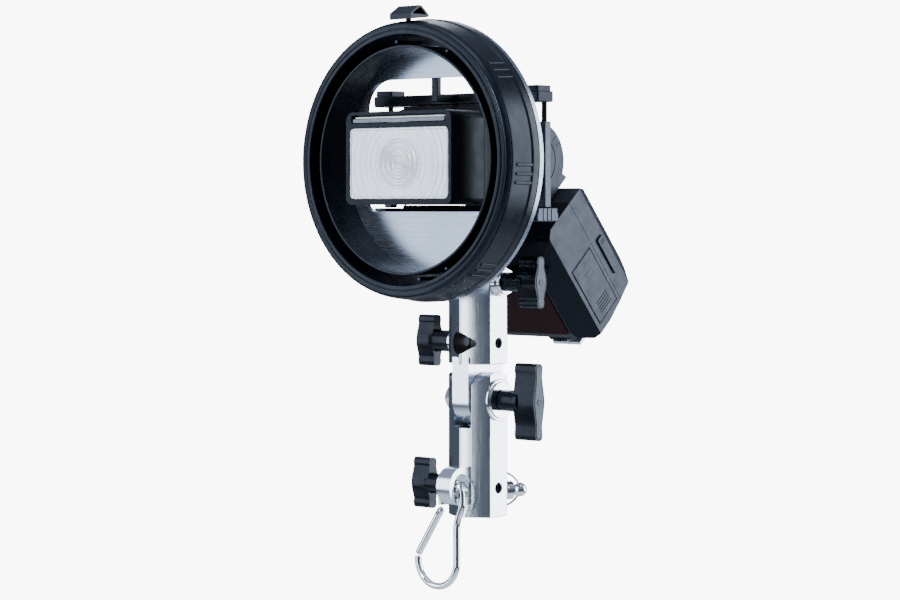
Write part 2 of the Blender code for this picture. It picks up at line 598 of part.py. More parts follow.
# ---------------------------------------------------------------- flash head
def make_flash_head():
    outer = rounded_rect(-HEAD_HALF, HEAD_HALF, HEAD_BOTTOM, HEAD_TOP, (4, 4, 5, 5), 3)
    shell = put("head_shell", outline_mesh([outer], -64.3, HEAD_BACK, "XZ"), FLASH)
    # the back narrows to the hub between the neck's ears
    shell.location = (0, PIVOT_Y * MM, PIVOT_Z * MM)
    placed(shell.data, (0, PIVOT_Y, PIVOT_Z))
    top_slope = outline_mesh(
        [[(-40 - PIVOT_Y, 40), (-40 - PIVOT_Y, 26.2), (HEAD_BACK - PIVOT_Y + 6, 20.6), (HEAD_BACK - PIVOT_Y + 6, 40)]], -60, 60, "YZ"
    )
    boolean(shell, top_slope)
    boolean(shell, box_mesh((-21.4, 21.4), (-30.0, 0.0), (-19.0, 19.0)), "UNION")
    boolean(shell, rod_mesh((-21.4, 0, 0), (21.4, 0, 0), 19.0, seg=40), "UNION")
    cavity = box_mesh((-35.8, 35.8), (-110, -24.5), (-22.2, 18.6))
    boolean(shell, cavity)
    # slot for the wide panel and the white card
    boolean(shell, box_mesh((-34.6, 34.6), (-110, -52.0), (19.9, 23.6)))
    boolean(shell, rod_mesh((-30, 0, 0), (30, 0, 0), 4.4, seg=20))
    smooth(shell)

    lens_open = rounded_rect(-36.4, 36.4, 177.8, 217.4, (4, 4, 4, 4), 3)
    slot = rounded_rect(-34.6, 34.6, 219.7, 224.3, (1, 1, 1, 1), 2)
    frame = put("head_front_frame", outline_mesh([outer, lens_open, slot], HEAD_FRONT, -64.6, "XZ"), FLASH)
    smooth(frame)
    lens = put("fresnel_lens", outline_mesh([rounded_rect(-36.1, 36.1, 178.1, 217.1, (3.7,) * 4, 3)], -67.2, -64.9, "XZ"), LENS)
    smooth(lens)

    # reflector: a bent sheet trough that opens forwards, and the tube across its back
    trough_o = [(-46, 179.6), (-40, 184.5), (-36.5, 190), (-35.2, 197.5), (-36.5, 205), (-40, 210.5), (-46, 215.4)]
    trough_i = [(p[0] - 0.9 if i == 3 else p[0] - 0.6, p[1] + (0.7 if i < 3 else 0 if i == 3 else -0.7)) for i, p in enumerate(trough_o)]
    loop = [(-64.0, 179.6)] + trough_o + [(-64.0, 215.4), (-64.0, 214.5)] + list(reversed(trough_i)) + [(-64.0, 180.5)]
    reflector = put("reflector", outline_mesh([loop], -33.5, 33.5, "YZ"), MIRROR)
    tube = put("flash_tube", rod_mesh((-31, -42.5, 197.5), (31, -42.5, 197.5), 2.2, seg=12), GLASS)
    smooth(tube)
    # wide panel and card slide out of the slot above the lens
    panel = put("wide_panel", outline_mesh([rounded_rect(-33.8, 33.8, -67.2, -31.0, (1.5,) * 4, 2)], 220.2, 221.5, "XY"), LENS)
    boolean(panel, box_mesh((-33.4, 33.4), (-67.2, -65.6), (220.9, 221.9)), "UNION")
    put("bounce_card", outline_mesh([rounded_rect(-33.0, 33.0, -66.6, -31.0, (1.5,) * 4, 2)], 222.4, 223.2, "XY"), CARD)


# ---------------------------------------------------------------- flash neck and body
def make_flash_body():
    pivot = axis_empty("flash_body_frame", (0, PIVOT_Y, PIVOT_Z), (BODY_TILT, 0, 0))

    # neck: two ears round the hub on a turning base
    ears = outline_mesh([arc(0, 0, 21.4, -60, 240, 40) + [(-12, -22.6), (12, -22.6)]], -26.4, 26.4, "YZ")
    yoke = put("neck_yoke", ears, FLASH, parent=pivot)
    boolean(yoke, box_mesh((-21.8, 21.8), (-40, 40), (-19.4, 40)))
    boolean(yoke, rod_mesh((-25, 0, 0), (30, 0, 0), 3.0, seg=16))
    boolean(yoke, rod_mesh((0, -6, -25.0), (0, -6, -22.0), 16.0, seg=32), "UNION")
    boolean(yoke, rod_mesh((23.9, 0, 0), (30, 0, 0), 9.1, seg=28))
    boolean(yoke, rod_mesh((-27.8, 0, 0), (-26, 0, 0), 8.7, seg=28), "UNION")
    # the round hub of the head needs room between the ears
    boolean(yoke, rod_mesh((-21.8, 0, 0), (21.8, 0, 0), 19.4, seg=40))
    smooth(yoke)
    axle = put("neck_axle", rod_mesh((-24.6, 0, 0), (23.7, 0, 0), 2.6, seg=16), STEEL, parent=pivot)
    smooth(axle)
    cap = put("tilt_release_button", rod_mesh((25.5, 0, 0), (27.8, 0, 0), 8.7, seg=28), FLASH, parent=pivot)
    bevel(cap, 0.6, 2)
    smooth(cap)

    # shell outline: side profile (v, z) crossed with the plan (x, v)
    side_profile = [
        (-30, -25.6), (6, -25.6), (11.5, -31), (12, -84), (10, -91), (4.5, -97), (-8, -99.5),
        (-22, -101.5), (-38, -101.5), (-45.0, -95.0), (-46.5, -90.0), (-46.5, -52.0), (-39.5, -44.0), (-35.5, -30.5),
    ]
    plan = [(-38.5, 5), (-34, 12.5), (34, 12.5), (38.5, 5), (38.5, -34), (29.5, -47), (-29.5, -47), (-38.5, -34)]
    bore = [(-3.4, SHOE_V), (3.4, SHOE_V)]

    def half(name, v0, v1, cavity):
        obj = put(name, outline_mesh([side_profile], -38.4, 38.4, "YZ"), FLASH, parent=pivot)
        boolean(obj, outline_mesh([plan], -130, 0, "XY"), "INTERSECT")
        boolean(obj, box_mesh((-60, 60), (v0, v1), (-130, 10)), "INTERSECT")
        boolean(obj, box_mesh(*cavity))
        return obj

    front = half("body_front_shell", -60, SEAM_V - GAP / 2, ((-35.6, 35.6), (-34.2, 20), (-97.5, -29.0)))
    rear = half("body_rear_shell", SEAM_V + GAP / 2, 40, ((-35.6, 35.6), (-40, 9.6), (-92.0, -29.0)))
    # recess for the red window across the front's lower half
    boolean(front, box_mesh((-28.4, 28.4), (-60, -43.6), (-91.0, -53.6)))
    # battery door opening in the right side
    boolean(front, box_mesh((35, 50), (-31.6, -9.6), (-96.6, -56.4)))
    boolean(rear, box_mesh((-22, 22), (9, 20), (-60.3, -34.7)))
    boolean(rear, rod_mesh((0, 5, -76), (0, 20, -76), 3.6, seg=20))
    for x in (-24, 24):
        boolean(rear, rod_mesh((x, 5, -76), (x, 20, -76), 2.3, seg=16))
    smooth(front, 30)
    smooth(rear, 30)

    win = [(-28.0, -53.9), (-46.4, -53.9)]
    ir = put("ir_window", box_mesh((-28.0, 28.0), (-46.9, -43.9), (-90.7, -53.9)), RED, parent=pivot)
    bevel(ir, 1.0, 1)
    door = put("battery_door", box_mesh((35.4, 38.9), (-31.2, -10.0), (-96.2, -56.8)), FLASH, parent=pivot)
    bevel(door, 0.6, 1)
    port = put("port_cover", box_mesh((38.8, 39.6), (-2.5, 3.5), (-84, -58)), RUBBER, parent=pivot)
    bevel(port, 0.25, 1)
    lcd = put("lcd_window", box_mesh((-21.6, 21.6), (10.2, 12.2), (-59.9, -35.1)), SCREEN, parent=pivot)
    bevel(lcd, 0.5, 1)

    # controls on the back: each has a stem in its bore
    dial = put("control_dial", rod_mesh((0, 12.9, 0), (0, 15.4, 0), 9.0, seg=32), FLASH, parent=pivot)
    dial.location = (0, 0, -76 * MM)
    bevel(dial, 0.6, 1)
    boolean(dial, rod_mesh((0, 6.5, 0), (0, 14, 0), 3.2, seg=16), "UNION")
    for x, name in ((-24, "left_button"), (24, "right_button")):
        b = put(name, rod_mesh((x, 12.9 + 0.9, -76), (x, 15.2, -76), 4.0, seg=20), FLASH, parent=pivot)
        bevel(b, 0.5, 1)
        boolean(b, rod_mesh((x, 6.5, -76), (x, 14.4, -76), 1.9, seg=14), "UNION")

    # shoe with its locking ring
    foot = put("shoe_foot", rod_mesh((0, SHOE_V, -117.5), (0, SHOE_V, -101.8), 8.2, seg=24), STEEL, parent=pivot)
    boolean(foot, box_mesh((-10.3, 10.3), (SHOE_V - 10.3, SHOE_V + 10.3), (-119.2, -117.0)), "UNION")
    boolean(foot, box_mesh((-6.2, 6.2), (SHOE_V - 6.2, SHOE_V + 6.2), (-117.4, -113.0)), "UNION")
    teeth = []
    for i in range(48):
        a = 2 * math.pi * i / 48
        r = 15.4 if i % 2 else 14.2
        teeth.append((r * math.cos(a), r * math.sin(a)))
    ring = put("shoe_lock_ring", outline_mesh([teeth, arc(0, 0, 8.6, 0, 360, 24)[:-1]], -112.2, -104.6, "XY"), FLASH, parent=pivot)
    ring.location = (0, SHOE_V * MM, 0)

    # inside the body
    pack = put("battery_magazine", box_mesh((-31, 31), (-33.8, -31.2), (-92.4, -42.2)), CELL, parent=pivot)
    for x in (-22.8, -7.6, 7.6, 22.8):
        boolean(pack, rod_mesh((x, -25.0, -92.0), (x, -25.0, -42.6), 7.1, seg=16), "UNION")
        boolean(pack, rod_mesh((x, -25.0, -43), (x, -25.0, -41.6), 2.7, seg=12), "UNION")
    smooth(pack)
    cap = put("main_capacitor", rod_mesh((-26, -6.0, -78.0), (18, -6.0, -78.0), 9.6, seg=20), BLACK_STEEL, parent=pivot)
    smooth(cap)
    put("control_board", box_mesh((-31, 31), (4.2, 5.8), (-66, -33)), BOARD, parent=pivot)


make_bracket()
make_hook()
make_ring()
make_clamp()
make_flash_head()
make_flash_body()
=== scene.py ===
"""Looks for the speed-ring flash bracket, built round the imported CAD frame.

Lengths below are in millimetres in the row frame and become metres through MM.
"""

import json
import math

import bmesh
import bpy
from mathutils import Matrix, Vector


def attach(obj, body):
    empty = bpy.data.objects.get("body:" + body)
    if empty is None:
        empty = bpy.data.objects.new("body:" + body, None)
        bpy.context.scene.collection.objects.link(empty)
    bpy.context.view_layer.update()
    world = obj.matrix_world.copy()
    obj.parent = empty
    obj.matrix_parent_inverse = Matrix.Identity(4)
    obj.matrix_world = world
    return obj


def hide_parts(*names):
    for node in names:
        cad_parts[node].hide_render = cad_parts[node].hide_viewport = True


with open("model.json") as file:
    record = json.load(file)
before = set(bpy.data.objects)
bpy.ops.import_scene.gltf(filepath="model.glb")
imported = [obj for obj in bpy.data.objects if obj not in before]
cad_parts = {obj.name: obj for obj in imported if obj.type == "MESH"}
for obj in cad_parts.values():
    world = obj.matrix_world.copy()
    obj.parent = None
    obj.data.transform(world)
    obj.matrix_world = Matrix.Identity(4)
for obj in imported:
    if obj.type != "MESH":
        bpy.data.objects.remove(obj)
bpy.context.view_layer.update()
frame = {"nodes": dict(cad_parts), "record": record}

MM = 0.001
GAP = 0.3
ROOT = bpy.context.scene.collection

HEX_A, HEX_B, HEX_RIDGE = 15.3, 7.6, 15.7
TILT_Z, EAR_R, TONGUE_R = 65.6, 15.6, 15.2
UMBRELLA_Z, RING_BOLT_Z, STAND_LOCK_Z = 97.5, 132.0, 15.6
RING_Z, RIM_Y, HOUSING_BACK = 199.3, -65.5, -41.2
PIVOT_Y, PIVOT_Z, TILT = 23.5, 200.0, math.radians(41.0)
SEAM_V, SHOE_V = -7.2, -16.0
BODY = Matrix.Translation((0, PIVOT_Y * MM, PIVOT_Z * MM)) @ Matrix.Rotation(TILT, 4, "X")


# ------------------------------------------------------------------ camera
cam_data = bpy.data.cameras.new("camera")
cam = bpy.data.objects.new("camera", cam_data)
ROOT.objects.link(cam)
cam.location = (0.90315, -1.06658, 0.1721)
cam.rotation_euler = (math.radians(90), 0, math.radians(40.9))
cam_data.lens = 99.0
cam_data.sensor_width = 36.0
cam_data.shift_y = -0.1
cam_data.clip_start = 0.05
bpy.context.scene.camera = cam


# ------------------------------------------------------------------ materials
class Look:
    """A principled material whose detail comes from procedural nodes in the piece's own coordinates."""

    def __init__(self, name, colour, metal=0.0, specular=0.5, coat=0.0, coat_rough=0.1, transmission=0.0, ior=1.49, aniso=0.0):
        self.m = bpy.data.materials.new(name)
        self.m.use_nodes = True
        self.t = self.m.node_tree
        self.b = self.t.nodes["Principled BSDF"]
        self.b.inputs["Base Color"].default_value = (*colour, 1)
        self.b.inputs["Metallic"].default_value = metal
        self.b.inputs["Specular IOR Level"].default_value = specular
        self.b.inputs["Coat Weight"].default_value = coat
        self.b.inputs["Coat Roughness"].default_value = coat_rough
        self.b.inputs["Transmission Weight"].default_value = transmission
        self.b.inputs["IOR"].default_value = ior
        self.b.inputs["Anisotropic"].default_value = aniso
        self.colour = colour
        self.co = self.t.nodes.new("ShaderNodeTexCoord").outputs["Object"]
        self.height = None

    def node(self, kind, **inputs):
        n = self.t.nodes.new(kind)
        for k, v in inputs.items():
            n.inputs[k.replace("_", " ")].default_value = v
        return n

    def mapped(self, scale, turn=(0, 0, 0)):
        n = self.node("ShaderNodeMapping")
        n.inputs["Scale"].default_value = scale
        n.inputs["Rotation"].default_value = turn
        self.t.links.new(self.co, n.inputs["Vector"])
        return n.outputs["Vector"]

    def noise(self, scale, detail=4.0, rough=0.55, vector=None):
        n = self.node("ShaderNodeTexNoise", Scale=scale, Detail=detail, Roughness=rough)
        self.t.links.new(vector if vector is not None else self.co, n.inputs["Vector"])
        return n.outputs["Fac"]

    def cells(self, scale, feature="F1", vector=None):
        n = self.node("ShaderNodeTexVoronoi", Scale=scale)
        n.feature = feature
        self.t.links.new(vector if vector is not None else self.co, n.inputs["Vector"])
        return n.outputs["Distance"]

    def span(self, fac, a, b, lo=0.3, hi=0.7):
        n = self.node("ShaderNodeMapRange")
        n.inputs["From Min"].default_value = lo
        n.inputs["From Max"].default_value = hi
        n.inputs["To Min"].default_value = a
        n.inputs["To Max"].default_value = b
        self.t.links.new(fac, n.inputs["Value"])
        return n.outputs["Result"]

    def rough(self, fac, a, b, lo=0.3, hi=0.7):
        self.t.links.new(self.span(fac, a, b, lo, hi), self.b.inputs["Roughness"])
        return self

    def tint(self, fac, other, lo=0.35, hi=0.65, amount=1.0):
        mix = self.node("ShaderNodeMix")
        mix.data_type = "RGBA"
        source = self.b.inputs["Base Color"]
        if source.is_linked:
            self.t.links.new(source.links[0].from_socket, mix.inputs[6])
        else:
            mix.inputs[6].default_value = (*self.colour, 1)
        mix.inputs[7].default_value = (*other, 1)
        self.t.links.new(self.span(fac, 0.0, amount, lo, hi), mix.inputs[0])
        self.t.links.new(mix.outputs[2], source)
        return self

    def worn(self, other, amount=0.5, lo=0.52, hi=0.6):
        """Lighter along the outer edges, where hands and stands rub it."""
        g = self.t.nodes.new("ShaderNodeNewGeometry")
        return self.tint(g.outputs["Pointiness"], other, lo, hi, amount)

    def bump(self, fac, distance, strength=1.0):
        n = self.node("ShaderNodeBump", Strength=strength, Distance=distance)
        self.t.links.new(fac, n.inputs["Height"])
        if self.b.inputs["Normal"].is_linked:
            self.t.links.new(self.b.inputs["Normal"].links[0].from_socket, n.inputs["Normal"])
        self.t.links.new(n.outputs["Normal"], self.b.inputs["Normal"])
        return self


def plastic(name, colour, lighter, rough, grain=2600.0, depth=0.00004, specular=0.5, wear=0.35):
    k = Look(name, colour, specular=specular)
    k.b.inputs["Specular Tint"].default_value = (0.66, 0.78, 1.0, 1)
    k.tint(k.noise(90.0, 5.0), lighter, 0.4, 0.75, 0.35)
    k.tint(k.noise(2400.0, 2.0), lighter, 0.5, 0.8, 0.25)
    k.worn(tuple(min(1.0, c * 2.6 + 0.01) for c in colour), wear)
    k.rough(k.noise(160.0, 6.0), rough - 0.05, rough + 0.07)
    k.bump(k.cells(grain), depth, 0.45)
    k.bump(k.noise(700.0, 3.0), 0.00003, 0.25)
    return k


def drawn_metal(name, colour, dark, r0, r1, scale, metal=1.0, depth=0.000012):
    k = Look(name, colour, metal=metal)
    lines = k.noise(1.0, 3.0, 0.6, k.mapped(scale))
    k.tint(lines, dark, 0.35, 0.75, 0.35)
    k.tint(k.noise(45.0, 5.0), dark, 0.5, 0.8, 0.3)
    k.rough(k.noise(1.0, 4.0, 0.6, k.mapped(tuple(s * 0.6 for s in scale))), r0, r1)
    k.bump(lines, depth, 0.6)
    return k


L = {}
L["aluminium"] = drawn_metal("satin_aluminium", (0.80, 0.84, 0.91), (0.60, 0.65, 0.73), 0.15, 0.25, (5200, 5200, 60))
L["chrome"] = Look("polished_chrome", (0.90, 0.91, 0.93), metal=1.0)
L["chrome"].rough(L["chrome"].noise(220.0, 6.0), 0.04, 0.12)
L["chrome"].tint(L["chrome"].noise(60.0, 4.0), (0.78, 0.80, 0.84), 0.5, 0.8, 0.4)
L["chrome"].bump(L["chrome"].noise(900.0, 3.0), 0.000006, 0.5)
L["plate_steel"] = drawn_metal("brushed_plate", (0.31, 0.35, 0.43), (0.19, 0.225, 0.285), 0.22, 0.34, (70, 70, 5600))
# near-black finish for the inside of the umbrella hole: painted shade standing in for the dark of the hole
L["bore"] = drawn_metal("bore_painted_shade", (0.05, 0.048, 0.052), (0.02, 0.018, 0.02), 0.5, 0.65, (900, 60, 900), 0.4, 0.00003)
L["small_steel"] = drawn_metal("zinc_plated", (0.66, 0.69, 0.74), (0.48, 0.51, 0.57), 0.28, 0.42, (3000, 3000, 400))
L["black_steel"] = plastic("black_oxide", (0.004, 0.0045, 0.0065), (0.010, 0.011, 0.015), 0.30, 3200.0, 0.00003, 0.24, 0.5)
L["black_steel"].b.inputs["Metallic"].default_value = 0.35
L["grey_steel"] = drawn_metal("blasted_steel", (0.060, 0.070, 0.092), (0.036, 0.043, 0.058), 0.34, 0.46, (900, 900, 900), 0.85, 0.00002)
L["ring_plastic"] = plastic("ring_plastic", (0.0026, 0.0034, 0.0062), (0.0060, 0.0078, 0.0130), 0.28, 2300.0, 0.00003, 0.26)
L["knob_plastic"] = plastic("knob_plastic", (0.0026, 0.0030, 0.0050), (0.0070, 0.0080, 0.0125), 0.25, 3000.0, 0.00002, 0.22, 0.6)
L["knob_face"] = plastic("knob_face", (0.060, 0.067, 0.082), (0.095, 0.105, 0.125), 0.42, 2600.0, 0.00004, 0.5, 0.5)
L["rubber"] = plastic("black_rubber", (0.0040, 0.0040, 0.0050), (0.0090, 0.0090, 0.0110), 0.74, 1500.0, 0.00006, 0.25, 0.2)
L["flash_plastic"] = plastic("flash_plastic", (0.0030, 0.0036, 0.0062), (0.0075, 0.0090, 0.0140), 0.34, 2100.0, 0.00005, 0.20)
L["flash_side"] = plastic("flash_side_plastic", (0.0095, 0.0118, 0.0180), (0.0170, 0.0205, 0.0295), 0.40, 1900.0, 0.00006, 0.40, 0.3)
L["flash_dark"] = plastic("flash_inner", (0.0025, 0.0025, 0.0035), (0.0055, 0.0055, 0.0070), 0.55, 1800.0, 0.00004, 0.25, 0.1)

k = L["lens_acrylic"] = Look("fresnel_acrylic", (0.85, 0.90, 0.96), metal=0.30, transmission=0.06, ior=1.49, coat=0.5, coat_rough=0.04)
shifted = k.node("ShaderNodeMapping")
shifted.inputs["Location"].default_value = (0.0, 0.0, -0.1976)
k.t.links.new(k.co, shifted.inputs["Vector"])
rings = k.node("ShaderNodeTexWave", Scale=95.0, Distortion=0.4, Detail=2.0)
rings.wave_type = "RINGS"
rings.rings_direction = "Y"
k.t.links.new(shifted.outputs["Vector"], rings.inputs["Vector"])
flutes = k.node("ShaderNodeTexWave", Scale=30.0, Distortion=0.8, Detail=1.0)
flutes.bands_direction = "X"
k.t.links.new(shifted.outputs["Vector"], flutes.inputs["Vector"])
k.tint(flutes.outputs["Fac"], (0.66, 0.72, 0.80), 0.45, 0.95, 0.35)
k.tint(k.noise(60.0, 3.0), (0.60, 0.67, 0.76), 0.5, 0.78, 0.5)
k.tint(rings.outputs["Fac"], (0.95, 0.97, 1.0), 0.45, 1.0, 0.45)
k.rough(k.noise(420.0, 4.0), 0.20, 0.34)
k.bump(rings.outputs["Fac"], 0.00012, 0.6)
k = L["panel_acrylic"] = Look("panel_acrylic", (0.20, 0.23, 0.29), transmission=0.25, ior=1.49, coat=0.2)
k.tint(k.noise(160.0, 3.0), (0.12, 0.14, 0.18), 0.4, 0.75, 0.7)
k.rough(k.noise(300.0, 4.0), 0.22, 0.36)
k.bump(k.cells(900.0), 0.00005, 0.4)
k = L["mirror_film"] = Look("reflector_film", (0.93, 0.94, 0.95), metal=1.0)
k.tint(k.noise(80.0, 4.0), (0.80, 0.82, 0.86), 0.4, 0.8, 0.5)
k.rough(k.noise(350.0, 5.0), 0.08, 0.2)
k.bump(k.noise(260.0, 4.0), 0.00006, 0.35)
k = L["tube_glass"] = Look("tube_glass", (0.96, 0.96, 0.93), transmission=0.85, ior=1.46)
k.tint(k.noise(200.0, 3.0), (0.85, 0.86, 0.84), 0.4, 0.8, 0.5)
k.rough(k.noise(500.0, 3.0), 0.03, 0.1)
k = L["white_card"] = Look("white_card", (0.86, 0.86, 0.84))
k.tint(k.noise(120.0, 4.0), (0.78, 0.78, 0.76), 0.4, 0.8, 0.5)
k.rough(k.noise(500.0, 4.0), 0.5, 0.65)
k.bump(k.noise(1800.0, 2.0), 0.00002, 0.4)
k = L["ir_red"] = Look("ir_red_acrylic", (0.012, 0.0004, 0.0007), specular=0.06)
k.tint(k.noise(60.0, 3.0), (0.030, 0.0008, 0.0012), 0.4, 0.75, 0.8)
k.rough(k.noise(300.0, 4.0), 0.12, 0.22)
k.bump(k.noise(700.0, 2.0), 0.00001, 0.3)
k = L["lcd"] = Look("lcd_glass", (0.055, 0.065, 0.060), coat=0.9, coat_rough=0.04)
grid = k.node("ShaderNodeTexBrick")
grid.inputs["Scale"].default_value = 1100.0
grid.inputs["Mortar Size"].default_value = 0.06
k.t.links.new(k.co, grid.inputs["Vector"])
k.tint(grid.outputs["Fac"], (0.085, 0.10, 0.092), 0.2, 0.8, 0.6)
k.rough(k.noise(300.0, 4.0), 0.15, 0.28)
k = L["board"] = Look("circuit_board", (0.015, 0.12, 0.05), coat=0.3)
k.tint(k.cells(260.0, "DISTANCE_TO_EDGE"), (0.03, 0.2, 0.09), 0.02, 0.06, 0.8)
k.tint(k.cells(900.0), (0.75, 0.72, 0.55), 0.10, 0.06, 0.8)
k.rough(k.noise(400.0, 4.0), 0.3, 0.5)
k.bump(k.cells(260.0, "DISTANCE_TO_EDGE"), 0.00005, 0.5)
k = L["cell"] = Look("cell_sleeve", (0.10, 0.13, 0.26), coat=0.4)
k.tint(k.noise(60.0, 3.0), (0.16, 0.20, 0.34), 0.4, 0.8, 0.6)
k.rough(k.noise(300.0, 4.0), 0.2, 0.4)
k.bump(k.noise(900.0, 3.0), 0.00002, 0.4)


# ------------------------------------------------------------------ mesh tools
def finish_mesh(bm, name="mesh"):
    bmesh.ops.remove_doubles(bm, verts=bm.verts, dist=2e-7)
    bmesh.ops.recalc_face_normals(bm, faces=bm.faces)
    mesh = bpy.data.meshes.new(name)
    bm.to_mesh(mesh)
    bm.free()
    return mesh


def temp(mesh):
    obj = bpy.data.objects.new("tmp", mesh)
    ROOT.objects.link(obj)
    return obj


def evaluated(obj):
    bpy.context.view_layer.update()
    graph = bpy.context.evaluated_depsgraph_get()
    mesh = bpy.data.meshes.new_from_object(obj.evaluated_get(graph))
    bpy.data.objects.remove(obj, do_unlink=True)
    return mesh


def box_mesh(x, y, z):
    bm = bmesh.new()
    bmesh.ops.create_cube(bm, size=1.0)
    bmesh.ops.scale(bm, verts=bm.verts, vec=Vector([(b - a) * MM for a, b in (x, y, z)]))
    bmesh.ops.translate(bm, verts=bm.verts, vec=Vector([(a + b) / 2 * MM for a, b in (x, y, z)]))
    return finish_mesh(bm)


def rod_mesh(a, b, r, r2=None, seg=64):
    a, b = Vector(a) * MM, Vector(b) * MM
    bm = bmesh.new()
    bmesh.ops.create_cone(bm, cap_ends=True, segments=seg, radius1=r * MM, radius2=(r if r2 is None else r2) * MM, depth=(b - a).length)
    turn = Vector((0, 0, 1)).rotation_difference((b - a).normalized()).to_matrix()
    bmesh.ops.rotate(bm, verts=bm.verts, matrix=turn)
    bmesh.ops.translate(bm, verts=bm.verts, vec=(a + b) / 2)
    return finish_mesh(bm)


PLANES = {
    "XY": Matrix(((1, 0, 0, 0), (0, 1, 0, 0), (0, 0, 1, 0), (0, 0, 0, 1))),
    "XZ": Matrix(((1, 0, 0, 0), (0, 0, 1, 0), (0, 1, 0, 0), (0, 0, 0, 1))),
    "YZ": Matrix(((0, 0, 1, 0), (1, 0, 0, 0), (0, 1, 0, 0), (0, 0, 0, 1))),
}


def outline_mesh(loops, t0, t1, plane):
    curve = bpy.data.curves.new("outline", "CURVE")
    curve.dimensions = "2D"
    curve.fill_mode = "BOTH"
    curve.extrude = abs(t1 - t0) / 2 * MM
    for loop in loops:
        spline = curve.splines.new("POLY")
        spline.points.add(len(loop) - 1)
        for point, (u, v) in zip(spline.points, loop):
            point.co = (u * MM, v * MM, 0.0, 1.0)
        spline.use_cyclic_u = True
    mesh = evaluated(temp(curve))
    mesh.transform(Matrix.Translation((0, 0, (t0 + t1) / 2 * MM)))
    mesh.transform(PLANES[plane])
    bm = bmesh.new()
    bm.from_mesh(mesh)
    return finish_mesh(bm)


def turned_mesh(profile, origin, axis="Z", seg=96, a0=0.0, a1=360.0):
    """A closed (radius, height) profile swept about an axis through origin, whole or from a0 to a1."""
    whole = abs(a1 - a0) >= 359.9
    bm = bmesh.new()
    rings = []
    count = seg if whole else seg + 1
    for i in range(count):
        a = math.radians(a0 + (a1 - a0) * i / seg)
        rings.append([bm.verts.new((r * math.cos(a) * MM, r * math.sin(a) * MM, h * MM)) for r, h in profile])
    n = len(profile)
    for i in range(seg):
        p, q = rings[i], rings[(i + 1) % count]
        for j in range(n):
            k2 = (j + 1) % n
            bm.faces.new((p[j], q[j], q[k2], p[k2]))
    if not whole:
        bm.faces.new(rings[0])
        bm.faces.new(list(reversed(rings[-1])))
    mesh = finish_mesh(bm)
    turn = {"Z": Matrix.Identity(4), "X": Matrix.Rotation(math.radians(90), 4, "Y"), "Y": Matrix.Rotation(math.radians(-90), 4, "X")}[axis]
    mesh.transform(turn)
    mesh.transform(Matrix.Translation([c * MM for c in origin]))
    return mesh


def wire_mesh(points, r, resolution=6):
    curve = bpy.data.curves.new("wire", "CURVE")
    curve.dimensions = "3D"
    curve.bevel_depth = r * MM
    curve.bevel_resolution = resolution
    curve.use_fill_caps = True
    spline = curve.splines.new("POLY")
    spline.points.add(len(points) - 1)
    for point, p in zip(spline.points, points):
        point.co = (p[0] * MM, p[1] * MM, p[2] * MM, 1.0)
    return evaluated(temp(curve))


def arc(cx, cy, r, a0, a1, n):
    return [(cx + r * math.cos(math.radians(a0 + (a1 - a0) * i / n)), cy + r * math.sin(math.radians(a0 + (a1 - a0) * i / n))) for i in range(n + 1)]


def rounded_rect(x0, x1, y0, y1, radii, n=10):
    a, b, c, d = radii if isinstance(radii, tuple) else (radii,) * 4
    return arc(x0 + a, y0 + a, a, 180, 270, n) + arc(x1 - b, y0 + b, b, 270, 360, n) + arc(x1 - c, y1 - c, c, 0, 90, n) + arc(x0 + d, y1 - d, d, 90, 180, n)


def smooth_loop(points, n=8, closed=True):
    """A smooth curve through the points."""
    out = []
    m = len(points)
    for i in range(m if closed else m - 1):
        def at(k):
            return Vector(points[k % m]) if closed else Vector(points[max(0, min(m - 1, k))])
        p0, p1, p2, p3 = at(i - 1), at(i), at(i + 1), at(i + 2)
        for s in range(n):
            t = s / n
            out.append(tuple(0.5 * ((2 * p1) + (p2 - p0) * t + (2 * p0 - 5 * p1 + 4 * p2 - p3) * t * t + (3 * p1 - p0 - 3 * p2 + p3) * t ** 3)))
    if not closed:
        out.append(tuple(points[-1]))
    return out


def combine(mesh, tool, operation="DIFFERENCE"):
    a, b = temp(mesh), temp(tool)
    m = a.modifiers.new("b", "BOOLEAN")
    m.operation = operation
    m.solver = "EXACT"
    m.object = b
    out = evaluated(a)
    bpy.data.objects.remove(b, do_unlink=True)
    return out


def cut(mesh, *tools):
    for t in tools:
        mesh = combine(mesh, t)
    return mesh


def join(mesh, *tools):
    for t in tools:
        mesh = combine(mesh, t, "UNION")
    return mesh


def soften(mesh, width, segments=3, angle=30):
    o = temp(mesh)
    m = o.modifiers.new("bevel", "BEVEL")
    m.width = width * MM
    m.segments = segments
    m.limit_method = "ANGLE"
    m.angle_limit = math.radians(angle)
    m.use_clamp_overlap = True
    m.miter_outer = "MITER_ARC"
    return evaluated(o)


def piece(name, mesh, look, body, node=None, sharp=35, local=False):
    """A finished piece: its shading, its finish, the body it rides on and the CAD node it stands for."""
    if local:
        mesh.transform(BODY)
    mesh.materials.clear()
    mesh.materials.append(L[look].m)
    for p in mesh.polygons:
        p.material_index = 0
    mesh.shade_smooth()
    mesh.set_sharp_from_angle(angle=math.radians(sharp))
    mesh.name = name
    obj = bpy.data.objects.new(name, mesh)
    ROOT.objects.link(obj)
    w = obj.modifiers.new("normals", "WEIGHTED_NORMAL")
    w.keep_sharp = True
    w.weight = 60
    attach(obj, body)
    if node:
        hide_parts(*([node] if isinstance(node, str) else node))
    return obj


def inside(obj, look, test):
    """Faces whose centre passes the test take another finish, such as the near-black inside of a bore, which is
    painted shade.
    """
    obj.data.materials.append(L[look].m)
    for p in obj.data.polygons:
        if test(p.center / MM, p.normal):
            p.material_index = 1


def hexagon():
    return [(HEX_A, -HEX_B), (HEX_A, HEX_B), (0, HEX_RIDGE), (-HEX_A, HEX_B), (-HEX_A, -HEX_B), (0, -HEX_RIDGE)]


